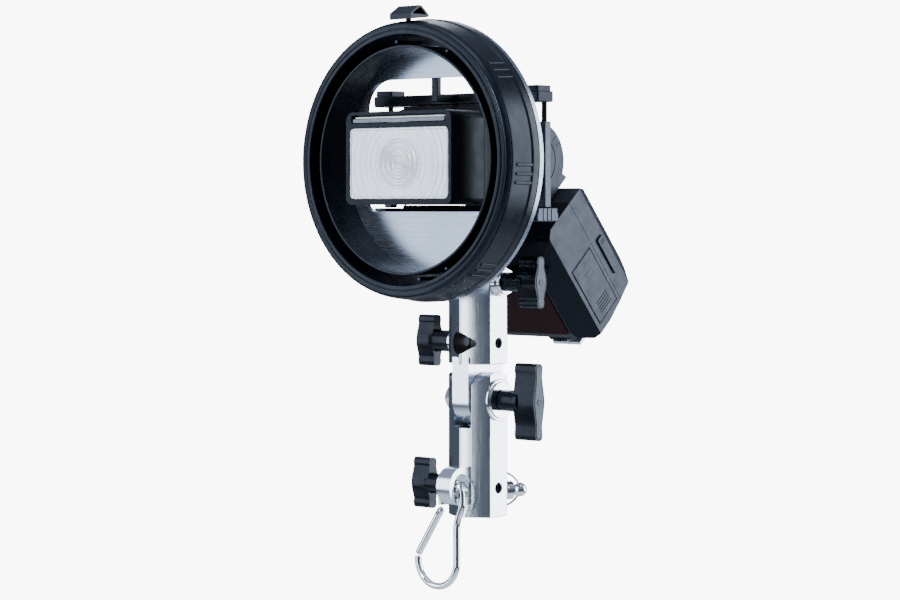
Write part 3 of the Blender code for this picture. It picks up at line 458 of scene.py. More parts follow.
def swelled_hexagon(rise=0.6, n=10):
    """The drawn section: its four slanting faces swell a little between their edges."""
    pts, out = hexagon(), []
    for i, (a, b) in enumerate(zip(pts, pts[1:] + pts[:1])):
        out.append(a)
        if abs(a[0] - b[0]) < 1:
            continue
        dx, dy = b[0] - a[0], b[1] - a[1]
        length = math.hypot(dx, dy)
        side = 1 if (dy * (a[0] + b[0]) - dx * (a[1] + b[1])) > 0 else -1
        for j in range(1, n):
            s = j / n
            h = 4 * rise * s * (1 - s) * side / length
            out.append((a[0] + dx * s + dy * h, a[1] + dy * s - dx * h))
    return out


# ------------------------------------------------------------------ swivel and tilt head
def bars():
    n = Vector((HEX_RIDGE - HEX_B, HEX_A, 0)).normalized()
    c = Vector((HEX_A / 2, (HEX_B + HEX_RIDGE) / 2, 13.4))
    m = outline_mesh([swelled_hexagon()], 0, TILT_Z + EAR_R, "XY")
    m = soften(m, 0.8, 4, 25)
    round_top = outline_mesh([[(-40, -5), (40, -5), (40, TILT_Z)] + arc(0, TILT_Z, EAR_R, 0, 180, 64) + [(-40, TILT_Z)]], -30, 30, "YZ")
    m = combine(m, round_top, "INTERSECT")
    m = cut(m, outline_mesh([rounded_rect(-6.2, 6.2, 50, 100, (1.2, 1.2, 0.1, 0.1), 6)], -30, 30, "XZ"))
    m = soften(m, 0.45, 3, 50)
    eye = outline_mesh([[(-21, 7.5), (-9, 7.5), (-9, 28.7)] + arc(-21, 18.1, 10.6, 90, 270, 48)[:-1]], -3.6, 6.2, "YZ")
    eye = soften(eye, 0.9, 4, 50)
    m = join(m, eye)
    m = cut(m, turned_mesh([(0.001, -8), (8.4, -8), (7.2, -3.6), (6.5, -2.9), (6.5, 5.5), (7.2, 6.2), (8.4, 10), (0.001, 10)], (0, -21, 18.1), "X", 48))
    m = cut(m, turned_mesh([(0.001, -2), (9.6, -1), (8.1, 1.0), (8.1, 38), (0.001, 38)], (0, 0, 0), "Z", 72))
    m = cut(m, rod_mesh((-30, 0, TILT_Z), (30, 0, TILT_Z), 3.5), rod_mesh((-30, 0, STAND_LOCK_Z), (-4, 0, STAND_LOCK_Z), 3.4))
    m = cut(m, turned_mesh([(0.001, 4), (2.9, 4), (2.9, 14.9), (3.4, 15.5), (3.4, 20), (0.001, 20)], (0, 0, 16.2), "X", 40))
    m = cut(m, rod_mesh(c - n * 6.5, c + n * 4, 3.0, seg=32))
    piece("swivel_body", m, "aluminium", "swivel", "swivel_base", 30)

    m = outline_mesh([swelled_hexagon()], 85.6, 146.0, "XY")
    m = soften(m, 0.8, 4, 25)
    m = cut(m, outline_mesh([rounded_rect(-6.0, 6.0, 127.5, 160, (0.8, 0.8, 0.1, 0.1), 6)], -30, 30, "XZ"))
    m = soften(m, 0.4, 3, 55)
    tongue = outline_mesh([[(TONGUE_R, TILT_Z), (TONGUE_R, 89.6), (-TONGUE_R, 89.6)] + arc(0, TILT_Z, TONGUE_R, 180, 360, 64)[:-1]], -5.85, 5.85, "YZ")
    tongue = soften(tongue, 0.5, 3, 50)
    m = join(m, tongue)
    m = cut(m, rod_mesh((-30, 0, TILT_Z), (30, 0, TILT_Z), 3.5), rod_mesh((-30, 0, RING_BOLT_Z), (30, 0, RING_BOLT_Z), 3.4))
    vee = arc(-1.6, UMBRELLA_Z, 6.4, 62, 298, 40) + arc(6.9, UMBRELLA_Z, 2.0, -62, 62, 14)
    m = cut(m, outline_mesh([vee], -30, 30, "XZ"))
    m = cut(m, rod_mesh((-30, 0, UMBRELLA_Z), (-5, 0, UMBRELLA_Z), 3.3))
    m = cut(m, turned_mesh([(0.001, 5), (2.9, 5), (2.9, 14.9), (3.4, 15.5), (3.4, 20), (0.001, 20)], (0, 0, UMBRELLA_Z), "X", 40))
    o = piece("tilt_head_body", m, "aluminium", "head_bracket", "tilt_head", 30)
    # the inside of the umbrella hole takes the near-black bore finish, painted shade for the depth of the hole
    inside(o, "bore", lambda c, n: abs(c.z - UMBRELLA_Z) < 6.6 and -8.2 < c.x < 9.1 and abs(n.y) < 0.3 and abs(c.y) < 15.4 - 0.53 * abs(c.x)
           and math.hypot(c.x + 1.6, c.z - UMBRELLA_Z) < 10.7)

    # grub screws with a hexagon recess
    for name, x0, x1, z, body in (("umbrella_grub_screw", 9.6, 13.4, UMBRELLA_Z, "head_bracket"), ("socket_grub_screw", 9.3, 13.4, 16.2, "swivel")):
        g = turned_mesh([(0.001, x0), (2.2, x0), (2.55, x0 + 0.4), (2.55, x1 - 0.4), (2.2, x1), (0.001, x1)], (0, 0, z), "X", 40)
        g = cut(g, rod_mesh((x1 - 1.8, 0, z), (x1 + 2, 0, z), 1.35, seg=6))
        piece(name + "_fine", g, "black_steel", body, name)

    # spring pin: barrel with a ball-headed pin, and its wire bail
    def along(profile, seg=64):
        mesh = turned_mesh(profile, (0, 0, 0), "Z", seg)
        mesh.transform(Vector((0, 0, 1)).rotation_difference(n).to_matrix().to_4x4())
        mesh.transform(Matrix.Translation(c * MM))
        return mesh
    barrel = [(2.7, GAP), (5.2, GAP), (5.2, 1.9), (4.8, 2.1), (4.8, 2.5), (5.2, 2.7), (5.2, 6.1), (4.7, 6.6), (2.7, 6.6)]
    piece("pin_barrel", along(barrel), "chrome", "swivel", "plunger_housing")
    ball = [(4.0 * math.sin(math.radians(a)), 11.3 - 4.0 * math.cos(math.radians(a))) for a in range(36, 180, 8)]
    pin = [(0.001, -4), (1.9, -4), (2.3, -3.5), (2.3, 8.0)] + ball + [(0.001, 15.3)]
    piece("pin_ball", along(pin), "chrome", "spring_pin", "plunger_pin")
    beside = Vector((-n.y, n.x, 0)) * 5.6
    rim = [tuple(c + beside + n * (GAP + 0.3 + 12.6 * math.sin(math.radians(a))) + Vector((0, 0, 9.8 * math.cos(math.radians(a))))) for a in range(0, 181, 5)]
    piece("pin_wire_bail", wire_mesh(rim, 0.65), "chrome", "swivel", "pin_bail", 60)


def wing_knob(name, side, x0, x1, reach, hub_r, neck_x, neck_r, z, body, node, face=False):
    half_y, tip = 5.0, 3.2
    ctrl = [(0, reach), (-2.4, reach - 0.6), (-tip, reach - 3.0), (-tip + 0.25, reach * 0.62), (-half_y + 0.4, hub_r * 0.62), (-half_y, 0)]
    ctrl += [(-half_y + 0.4, -hub_r * 0.62), (-tip + 0.25, -reach * 0.62), (-tip, -reach + 3.0), (-2.4, -reach + 0.6), (0, -reach)]
    ctrl += [(-u, v) for u, v in reversed(ctrl[1:-1])]
    loop = [(u, v + z) for u, v in smooth_loop(ctrl, 8)]
    m = outline_mesh([loop], side * x0, side * x1, "YZ")
    m = soften(m, 1.15, 5, 45)
    hub = turned_mesh([(0.001, neck_x), (neck_r - 0.5, neck_x), (neck_r, neck_x + 0.5), (neck_r, x0 - 2.0), (neck_r + 0.35, x0 - 0.4), (hub_r, x0 + 1.0), (hub_r, x0 + 3.0), (0.001, x0 + 3.0)],
                      (0, 0, z), "X", 64)
    if side < 0:
        hub.transform(Matrix.Rotation(math.pi, 4, Vector((0, 0, 1))))
    m = join(m, hub)
    m = cut(m, rod_mesh((side * (neck_x - 2), 0, z), (side * (x1 - 4.5), 0, z), 3.25, seg=32))
    piece(name, m, "knob_plastic", body, node, 40)
    # raised pad on the outer face, following the wing's outline
    inner = [(u * 0.72, (v - z) * 0.93 + z) for u, v in loop]
    pad = soften(outline_mesh([inner], side * (x1 - 0.2), side * (x1 + 0.25), "YZ"), 0.2, 2, 45)
    piece(name + "_face", pad, "knob_face" if face else "knob_plastic", body)
    dot = turned_mesh([(0.001, x1 + 0.1), (1.9, x1 + 0.1), (1.9, x1 + 0.45), (1.5, x1 + 0.6), (1.1, x1 + 0.45), (0.001, x1 + 0.4)], (0, 0, z), "X", 40)
    if side < 0:
        dot.transform(Matrix.Rotation(math.pi, 4, Vector((0, 0, 1))))
    piece(name + "_cap", dot, "knob_face" if face else "knob_plastic", body)


def collar(name, side, x0, steps, bore, z, body, node, look="chrome"):
    profile = [(bore, x0)]
    x = x0
    for r, length in steps:
        e = min(0.35, length / 3)
        profile += [(r - e, x), (r, x + e), (r, x + length - e), (r - e, x + length)]
        x += length
    profile += [(bore, x)]
    m = turned_mesh(profile, (0, 0, z), "X", 96)
    if side < 0:
        m.transform(Matrix.Rotation(math.pi, 4, Vector((0, 0, 1))))
    piece(name, m, look, body, node)


def hex_bolt(name, x0, x1, r, shank_r, shank_x, z, body, node):
    head = rod_mesh((x0, 0, z), (x1, 0, z), r, seg=6)
    dome = turned_mesh([(0.001, x0), (r * 0.80, x0), (r * 1.02, x0 + 0.9), (r * 1.02, x1), (0.001, x1)], (0, 0, z), "X", 72)
    head = soften(combine(head, dome, "INTERSECT"), 0.15, 2, 30)
    m = join(head, rod_mesh((x1 - 1.0, 0, z), (shank_x, 0, z), shank_r, seg=48))
    piece(name, m, "chrome", body, node, 30)


def threaded(name, x0, x1, r, z, body, node, look="small_steel"):
    """A screw whose ridges stand round it, cut shallow so that it stays inside its bore."""
    profile = [(0.001, x0), (r - 0.3, x0)]
    x = x0 + 0.3
    while x < x1 - 0.8:
        profile += [(r, x + 0.2), (r - 0.28, x + 0.5)]
        x += 0.8
    profile += [(r - 0.3, x1), (0.001, x1)]
    piece(name, turned_mesh(profile, (0, 0, z), "X", 40), look, body, node, 25)


def fasteners():
    wing_knob("tilt_wing_knob", 1, 29.5, 44.35, 21.4, 6.3, 18.4, 5.9, TILT_Z, "tilt_lock", "tilt_knob", True)
    wing_knob("umbrella_wing_knob", -1, 30.2, 42.1, 14.7, 5.6, 18.2, 6.1, UMBRELLA_Z, "umbrella_lock", "umbrella_knob")
    wing_knob("stand_wing_knob", -1, 33.6, 45.8, 14.5, 5.6, 25.0, 5.6, STAND_LOCK_Z, "stand_lock", "stand_lock_knob")
    wing_knob("ring_wing_knob", 1, 32.4, 45.6, 14.3, 5.6, 22.0, 5.4, RING_BOLT_Z, "ring_lock", "ring_lock_knob", True)
    collar("tilt_washers", 1, HEX_A + GAP, [(11.7, 1.4), (10.4, 1.1)], 3.6, TILT_Z, "swivel", "tilt_washer")
    collar("umbrella_collar", -1, HEX_A + GAP, [(6.6, 2.2)], 3.6, UMBRELLA_Z, "head_bracket", "umbrella_washer")
    collar("stand_collar", -1, HEX_A + GAP, [(7.4, 5.0), (7.4, 1.6), (6.2, 2.2)], 3.6, STAND_LOCK_Z, "swivel", "stand_lock_boss")
    collar("ring_collar", 1, HEX_A + GAP, [(8.3, 3.4), (7.2, 2.6)], 3.6, RING_BOLT_Z, "head_bracket", "ring_lock_collar")
    hex_bolt("tilt_hex_bolt", -19.6, -HEX_A - GAP, 7.0, 3.0, 38, TILT_Z, "swivel", "tilt_bolt")
    hex_bolt("ring_hex_bolt", -19.0, -HEX_A - GAP, 6.0, 2.9, 40, RING_BOLT_Z, "head_bracket", "ring_lock_bolt")
    threaded("umbrella_lock_screw", -36, -8.4, 2.9, UMBRELLA_Z, "umbrella_lock", "umbrella_screw", "black_steel")
    threaded("stand_screw", -39, -9.0, 2.9, STAND_LOCK_Z, "stand_lock", "stand_lock_screw")


# ------------------------------------------------------------------ safety hook
def hook():
    y = -24.0
    ctrl = [(-5.9, 7.4), (-6.1, 11.5)] + arc(1.45, 13.3, 7.3, 160, 10, 8)
    ctrl += [(8.7, 9.0), (7.6, 4.5), (6.0, 0.5), (4.9, -4.5), (4.9, -13.0)]
    ctrl += arc(4.9 - 14.3, -38.5 + 14.3, 14.3, 0, -186, 14)
    line = smooth_loop(ctrl, 6, closed=False)
    m = wire_mesh([(u, y, v) for u, v in line], 1.95, 8)
    piece("carabiner_wire", m, "chrome", "safety_hook", "carabiner_hook", 60)
    top, foot = Vector((-5.9, y, 5.7)), Vector((-23.42, y, -21.25))
    d = (top - foot).normalized()
    length = (top - foot).length / MM * MM
    prof = [(0.001, 0), (1.6, 0), (2.05, 0.5), (2.05, 5.2), (1.85, 5.35), (1.85, 5.6), (2.05, 5.75), (2.05, length - 6.0), (1.85, length - 5.8), (1.85, length - 5.5), (2.05, length - 5.3), (2.05, length - 1.8), (1.2, length), (0.001, length)]
    m = turned_mesh(prof, (0, 0, 0), "Z", 48)
    slit = box_mesh((-0.35, 0.35), (-3, 3), (length - 4.6, length + 1))
    m = cut(m, slit)
    m.transform(Vector((0, 0, 1)).rotation_difference(d).to_matrix().to_4x4())
    m.transform(Matrix.Translation(foot * MM))
    piece("carabiner_gate_tube", m, "chrome", "hook_gate", "carabiner_gate")


# ------------------------------------------------------------------ ring
RIB_CENTRES = (38.5, 141.5, 186.0, 231.0, 309.0, 354.0)


def ring():
    R = RING_Z
    prof = [
        (68.6, -45.0), (68.6, -65.1), (68.75, -65.38), (69.0, -65.5), (70.5, -65.5), (70.75, -65.38), (70.85, -65.1), (70.9, -64.75),
        (71.25, -64.72), (71.35, -65.0), (71.6, -65.15), (73.7, -64.98), (74.3, -64.86), (74.9, -64.5), (75.25, -64.0), (75.75, -62.6),
        (75.85, -62.1), (75.5, -61.85), (75.5, -61.35), (75.95, -61.1), (76.2, -59.6), (77.35, -47.6), (77.45, -46.9), (77.8, -46.4), (78.0, -45.7),
        (78.0, -41.7), (77.85, -41.35), (77.5, -41.2), (63.3, -41.2), (63.2, -45.0),
    ]
    prof = [(r, h) for r, h in prof]
    m = turned_mesh([(r, h) for r, h in prof], (0, 0, R), "Y", 288)
    m = cut(m, soften(box_mesh((-2.2, 2.2), (-61.6, -50.4), (262, 290)), 1.6, 4, 60))
    piece("ring_shell", m, "ring_plastic", "ring", "ring_housing", 28)

    # raised arc on the rim's face, and grip ribs in threes
    band = [(71.9, -65.05), (72.05, -65.38), (72.3, -65.5), (73.3, -65.42), (73.6, -65.25), (73.75, -64.9)]
    m = turned_mesh(band, (0, 0, R), "Y", 150, a0=-97, a1=72)
    piece("ring_face_band", m, "ring_plastic", "ring")
    for g, centre in enumerate(RIB_CENTRES):
        bm = bmesh.new()
        for k3 in (-1, 0, 1):
            a = math.radians(centre + 3.6 * k3)
            rib = soften(box_mesh((-1.0, 0.6), (-6.2, 6.2), (-1.0, 1.0)), 0.55, 4, 45)
            rib.transform(Matrix.Rotation(math.radians(-5.4), 4, "Z"))
            rib.transform(Matrix.Translation((0.0769, -0.0525, 0)))
            rib.transform(Matrix.Rotation(-a, 4, "Y"))
            rib.transform(Matrix.Translation((0, 0, R * MM)))
            bm.from_mesh(rib)
        mesh = bpy.data.meshes.new("ribs")
        bm.to_mesh(mesh)
        bm.free()
        piece(f"grip_ribs_{g + 1}", mesh, "ring_plastic", "ring", None, 45)
    # locking lugs that stand in the groove, and the small stop pins beside them
    for i, a in enumerate((210, 330)):
        lug = turned_mesh([(64.7, -55.5), (64.7, -52.5), (68.8, -52.5), (68.8, -55.5)], (0, 0, R), "Y", 16, a0=-(a + 13), a1=-(a - 13))
        piece(f"groove_lug_{i + 1}", soften(lug, 0.3, 2, 40), "ring_plastic", "ring", None)
    for i, (r, a) in enumerate(((65.4, 96.5), (65.4, 63.5), (65.4, -64.0), (65.4, -82.0))):
        a = math.radians(a)
        x, z = r * math.cos(a), R + r * math.sin(a)
        m = turned_mesh([(0.001, -60.5), (0.7, -60.5), (1.05, -60.1), (1.05, -45.2), (0.001, -45.2)], (x, 0, z), "Y", 24)
        piece(f"stop_pin_{i + 1}", m, "grey_steel", "ring")

    s = [(61.4, -41.2), (61.4, -63.0), (61.55, -63.3), (61.8, -63.4), (62.5, -63.4), (62.75, -63.3), (62.9, -63.0), (62.9, -41.2)]
    piece("inner_lip", turned_mesh(s, (0, 0, R), "Y", 288), "ring_plastic", "ring", "inner_sleeve", 28)

    loop = arc(0, R, 78.0, 0, 360, 288)[:-1]
    window = rounded_rect(-48.2, 48.2, 171.2, 245.0, (7, 7, 17, 17), 20)
    m = soften(outline_mesh([loop, window], -40.9, -37.8, "XZ"), 0.3, 3, 60)
    # screws that hold the housing are seen from behind
    piece("plate", m, "plate_steel", "ring", "mount_plate", 30)
    for i, a in enumerate((30, 150, 210, 330)):
        a = math.radians(a)
        x, z = 70 * math.cos(a), R + 70 * math.sin(a)
        m = turned_mesh([(0.001, -37.6), (2.9, -37.6), (2.8, -36.9), (2.2, -36.2), (0.001, -35.9)], (x, 0, z), "Y", 40)
        m = cut(m, box_mesh((x - 0.35, x + 0.35), (-36.8, -35), (z - 1.7, z + 1.7)), box_mesh((x - 1.7, x + 1.7), (-36.8, -35), (z - 0.35, z + 0.35)))
        piece(f"plate_screw_{i + 1}", m, "black_steel", "ring")

    # release lever: hollow wedge loop
    tri = [(-65.8, 275.9), (-50.2, 277.7), (-50.2, 279.1), (-56.2, 283.9), (-58.8, 283.9), (-65.8, 279.4)]
    hole = [(-63.3, 279.2), (-57.9, 282.5), (-57.0, 282.5), (-52.9, 279.2)]
    m = soften(outline_mesh([tri, hole], -7.6, 7.6, "YZ"), 0.35, 3, 30)
    m = join(m, rod_mesh((0, -58.6, 268.5), (0, -58.6, 278.6), 1.5, seg=32))
    piece("release_loop", m, "ring_plastic", "ring_release", "release_lever")

    # foot
    f = soften(box_mesh((-15, 15), (-37.5, -33.4), (130.5, 164.5)), 1.0, 4, 50)
    z0 = RING_BOLT_Z
    t = outline_mesh([[(-36, z0 + 7.5), (-18, z0 + 7.5), (-14, z0 + 2.5), (-14, z0 - 4), (13.5, z0 - 4), (13.5, z0 + 10), (8, z0 + 16.5), (-22, z0 + 16.5), (-36, z0 + 26)]], -5.7, 5.7, "YZ")
    m = join(f, soften(t, 0.5, 3, 30))
    m = cut(m, outline_mesh([[(-3.4, z0 - 40), (3.4, z0 - 40)] + arc(0, z0, 3.4, 0, 180, 32)], -30, 30, "YZ"))
    piece("ring_foot_casting", m, "aluminium", "ring", "ring_foot", 30)


# ------------------------------------------------------------------ head clamp
def pad_mesh(z0, z1, up, y0, y1, half=38.0, pitch=2.0):
    teeth = []
    x = -half
    while x < half - 0.01:
        teeth += [(x + 0.1, 0.0), (x + pitch * 0.35, 0.8), (x + pitch * 0.65, 0.8), (x + pitch * 0.9, 0.0)]
        x += pitch
    if up:
        loop = [(-half, z0), (half, z0)] + [(u, z1 - 0.8 + h) for u, h in reversed(teeth)]
    else:
        loop = [(-half, z1)] + [(u, z0 + 0.8 - h) for u, h in teeth] + [(half, z1)]
    return outline_mesh([loop], y0, y1, "XZ")


def clamp():
    m = soften(box_mesh((-60.5, 60.5), (-21.5, -2.8), (165.8, 170.6)), 0.8, 4, 50)
    m = join(m, box_mesh((-24, 24), (-37.5, -20), (166.2, 169.8)))
    for side in (-1, 1):
        end = soften(box_mesh(sorted((side * 51.0, side * 60.5)), (-20.5, -3.6), (169, 173.2)), 0.6, 3, 50)
        m = join(m, end)
        for k3 in range(3):
            y = -16.5 + k3 * 3.6
            m = cut(m, box_mesh(sorted((side * 60.15, side * 62)), (y - 0.5, y + 0.5), (160, 180)))
    piece("lower_jaw_bar", m, "grey_steel", "ring", "lower_jaw", 30)
    piece("lower_jaw_pad", pad_mesh(170.9, 174.7, True, -21.0, -3.2), "rubber", "ring", "lower_pad", 20)

    m = soften(box_mesh((-60.5, 60.5), (-21.0, -7.4), (231.0, 237.0)), 0.8, 4, 50)
    for side in (-1, 1):
        m = join(m, soften(box_mesh(sorted((side * 47.5, side * 59.6)), (-20.0, -8.4), (235, 240.2)), 0.7, 3, 50))
        m = cut(m, rod_mesh((side * 56.6, -10.6, 226), (side * 56.6, -10.6, 235), 1.7, seg=32))
    m = join(m, soften(box_mesh((-2.3, 2.3), (-37.2, -20), (232, 236.4)), 0.4, 3, 50))
    m = join(m, soften(box_mesh((-2.3, 2.3), (-37.2, -33.8), (232, 261)), 0.5, 3, 50))
    piece("upper_jaw_bar", m, "black_steel", "jaw", "upper_jaw", 30)
    piece("upper_jaw_pad", pad_mesh(224.6, 230.7, False, -20.4, -8.0), "rubber", "jaw", "upper_pad", 20)
    for side, name in ((-1, "left"), (1, "right")):
        x = side * 56.6
        m = soften(box_mesh((x - 2.7, x + 2.7), (-13.3, -7.9), (173.5, 220.5)), 0.6, 4, 50)
        m = cut(m, rod_mesh((x, -10.6, 176), (x, -10.6, 230), 1.9, seg=40))
        piece(f"sleeve_{name}", m, "grey_steel", "ring", f"guide_sleeve_{name}", 30)
        m = turned_mesh([(0.001, 178), (1.2, 178), (1.5, 178.4), (1.5, 234.6), (0.001, 234.6)], (x, -10.6, 0), "Z", 40)
        piece(f"rod_{name}", m, "black_steel", "jaw", f"guide_rod_{name}")
        turns, steps, r = 12, 28, 2.1
        coil = []
        for i in range(turns * steps + 1):
            a = 2 * math.pi * i / steps
            coil.append((side * 46.6 + r * math.cos(a), -12.0 + r * math.sin(a), 174.4 + (229.7 - 174.4) * i / (turns * steps)))
        s = piece(f"coil_spring_{name}", wire_mesh(coil, 0.5, 4), "small_steel", "ring", f"jaw_spring_{name}", 60)


# ------------------------------------------------------------------ flash head
def fresnel(x0, x1, z0, z1, y_front, y_back, cx, cz, radius):
    """A clear plate with concentric ridges on its front, clipped to round corners."""
    nx, nz = 190, 104
    bm = bmesh.new()
    grid = {}
    def inside(u, w):
        du = max(x0 + radius - u, 0, u - (x1 - radius))
        dw = max(z0 + radius - w, 0, w - (z1 - radius))
        d = math.hypot(du, dw)
        if d > radius:
            s = radius / d
            uu = (x0 + radius if u < x0 + radius else x1 - radius) + (-du if u < x0 + radius else du) * s
            ww = (z0 + radius if w < z0 + radius else z1 - radius) + (-dw if w < z0 + radius else dw) * s
            return uu, ww
        return u, w
    for i in range(nx + 1):
        for j in range(nz + 1):
            u, w = x0 + (x1 - x0) * i / nx, z0 + (z1 - z0) * j / nz
            u, w = inside(u, w)
            rr = math.hypot(u - cx, w - cz)
            edge = min(u - x0, x1 - u, w - z0, z1 - w)
            deep = 0.26 if rr < 14.6 else 0.07
            ridge = deep * (0.5 - 0.5 * math.cos(2 * math.pi * rr / 1.825))
            if edge < 1.4:
                ridge = 0.34 * min(1.0, edge / 0.5)
            grid[i, j] = bm.verts.new((u * MM, (y_front + 0.34 - ridge) * MM, w * MM))
    for i in range(nx):
        for j in range(nz):
            bm.faces.new((grid[i, j], grid[i + 1, j], grid[i + 1, j + 1], grid[i, j + 1]))
    rim = [grid[i, 0] for i in range(nx)] + [grid[nx, j] for j in range(nz)] + [grid[i, nz] for i in range(nx, 0, -1)] + [grid[0, j] for j in range(nz, 0, -1)]
    back = [bm.verts.new((v.co.x, y_back * MM, v.co.z)) for v in rim]
    n = len(rim)
    for i in range(n):
        bm.faces.new((rim[i], back[i], back[(i + 1) % n], rim[(i + 1) % n]))
    bm.faces.new(back)
    bmesh.ops.dissolve_degenerate(bm, dist=1e-7, edges=bm.edges)
    return finish_mesh(bm)


def head():
    outer = rounded_rect(-38.5, 38.5, 175.0, 226.0, (4, 4, 5, 5), 10)
    m = outline_mesh([outer], -64.3, 2.0, "XZ")
    slope = outline_mesh([[(-40, 240), (-40, 226.2), (8, 220.6), (8, 240)]], -60, 60, "YZ")
    m = soften(cut(m, slope), 0.5, 3, 40)
    m = join(m, box_mesh((-21.4, 21.4), (-6.5, 23.5), (181, 219)), rod_mesh((-21.4, 23.5, 200), (21.4, 23.5, 200), 19.0, seg=96))
    m = cut(m, box_mesh((-35.8, 35.8), (-86.5, -1.0), (177.8, 218.6)))
    m = cut(m, box_mesh((-34.6, 34.6), (-86.5, -28.5), (219.9, 223.6)))
    m = cut(m, rod_mesh((-30, 23.5, 200), (30, 23.5, 200), 4.4, seg=40))
    # shallow grip lines on the two sides, and a parting line round the shell
    for side in (-1, 1):
        for i in range(7):
            z = 188 + i * 3.2
            m = cut(m, box_mesh(sorted((side * 38.1, side * 40)), (-30, -6), (z - 0.35, z + 0.35)))
    m = cut(m, outline_mesh([rounded_rect(-41, 41, 172, 229, 5), rounded_rect(-38.15, 38.15, 175.35, 225.65, (4, 4, 5, 5))], -40.2, -39.8, "XZ"))
    piece("head_case", m, "flash_plastic", "ring", "head_shell", 30)

    lens_open = rounded_rect(-36.4, 36.4, 177.8, 217.4, 4)
    slot = rounded_rect(-34.6, 34.6, 219.7, 224.3, 1, 5)
    m = soften(outline_mesh([outer, lens_open, slot], -67.5, -64.6, "XZ"), 0.45, 3, 60)
    piece("head_bezel", m, "flash_plastic", "ring", "head_front_frame", 30)
    m = fresnel(-36.1, 36.1, 178.1, 217.1, -67.2, -64.9, 0.0, 197.6, 3.7)
    piece("lens_plate", m, "lens_acrylic", "ring", "fresnel_lens", 20)

    outer_t = [(-46, 179.6), (-43, 181.8), (-40, 184.5), (-37.8, 187.4), (-36.5, 190), (-35.5, 193.6), (-35.2, 197.5), (-35.5, 201.4), (-36.5, 205), (-37.8, 207.6), (-40, 210.5), (-43, 213.2), (-46, 215.4)]
    inner_t = [(y - 0.7, 197.5 + (z - 197.5) * 0.965) for y, z in outer_t]
    loop = [(-64.0, 179.6)] + outer_t + [(-64.0, 215.4), (-64.0, 214.6)] + list(reversed(inner_t)) + [(-64.0, 180.4)]
    piece("reflector_trough", outline_mesh([loop], -33.5, 33.5, "YZ"), "mirror_film", "ring", "reflector", 40)
    m = turned_mesh([(0.001, -31), (1.4, -31), (1.9, -30.6), (2.2, -30), (2.2, 30), (1.9, 30.6), (1.4, 31), (0.001, 31)], (0, -42.5, 197.5), "X", 48)
    piece("xenon_tube", m, "tube_glass", "ring", "flash_tube")

    # wide panel with a thumb notch in its front lip, and the white card above it
    m = outline_mesh([rounded_rect(-33.8, 33.8, -67.2, -31.0, 1.5)], 220.2, 221.5, "XY")
    lip = [(-33.4, 220.2), (-31.5, 220.8), (-11, 220.7), (-6.5, 219.9), (6.5, 219.9), (11, 220.7), (31.5, 220.8), (33.4, 220.2), (33.4, 222.05), (-33.4, 222.05)]
    m = join(m, soften(outline_mesh([lip], -67.35, -65.7, "XZ"), 0.25, 2, 30))
    piece("diffuser", m, "panel_acrylic", "diffuser_panel", "wide_panel", 30)
    m = soften(outline_mesh([rounded_rect(-33.0, 33.0, -66.6, -31.0, 1.5)], 222.4, 223.2, "XY"), 0.2, 2, 50)
    piece("catchlight", m, "white_card", "catchlight_card", "bounce_card")


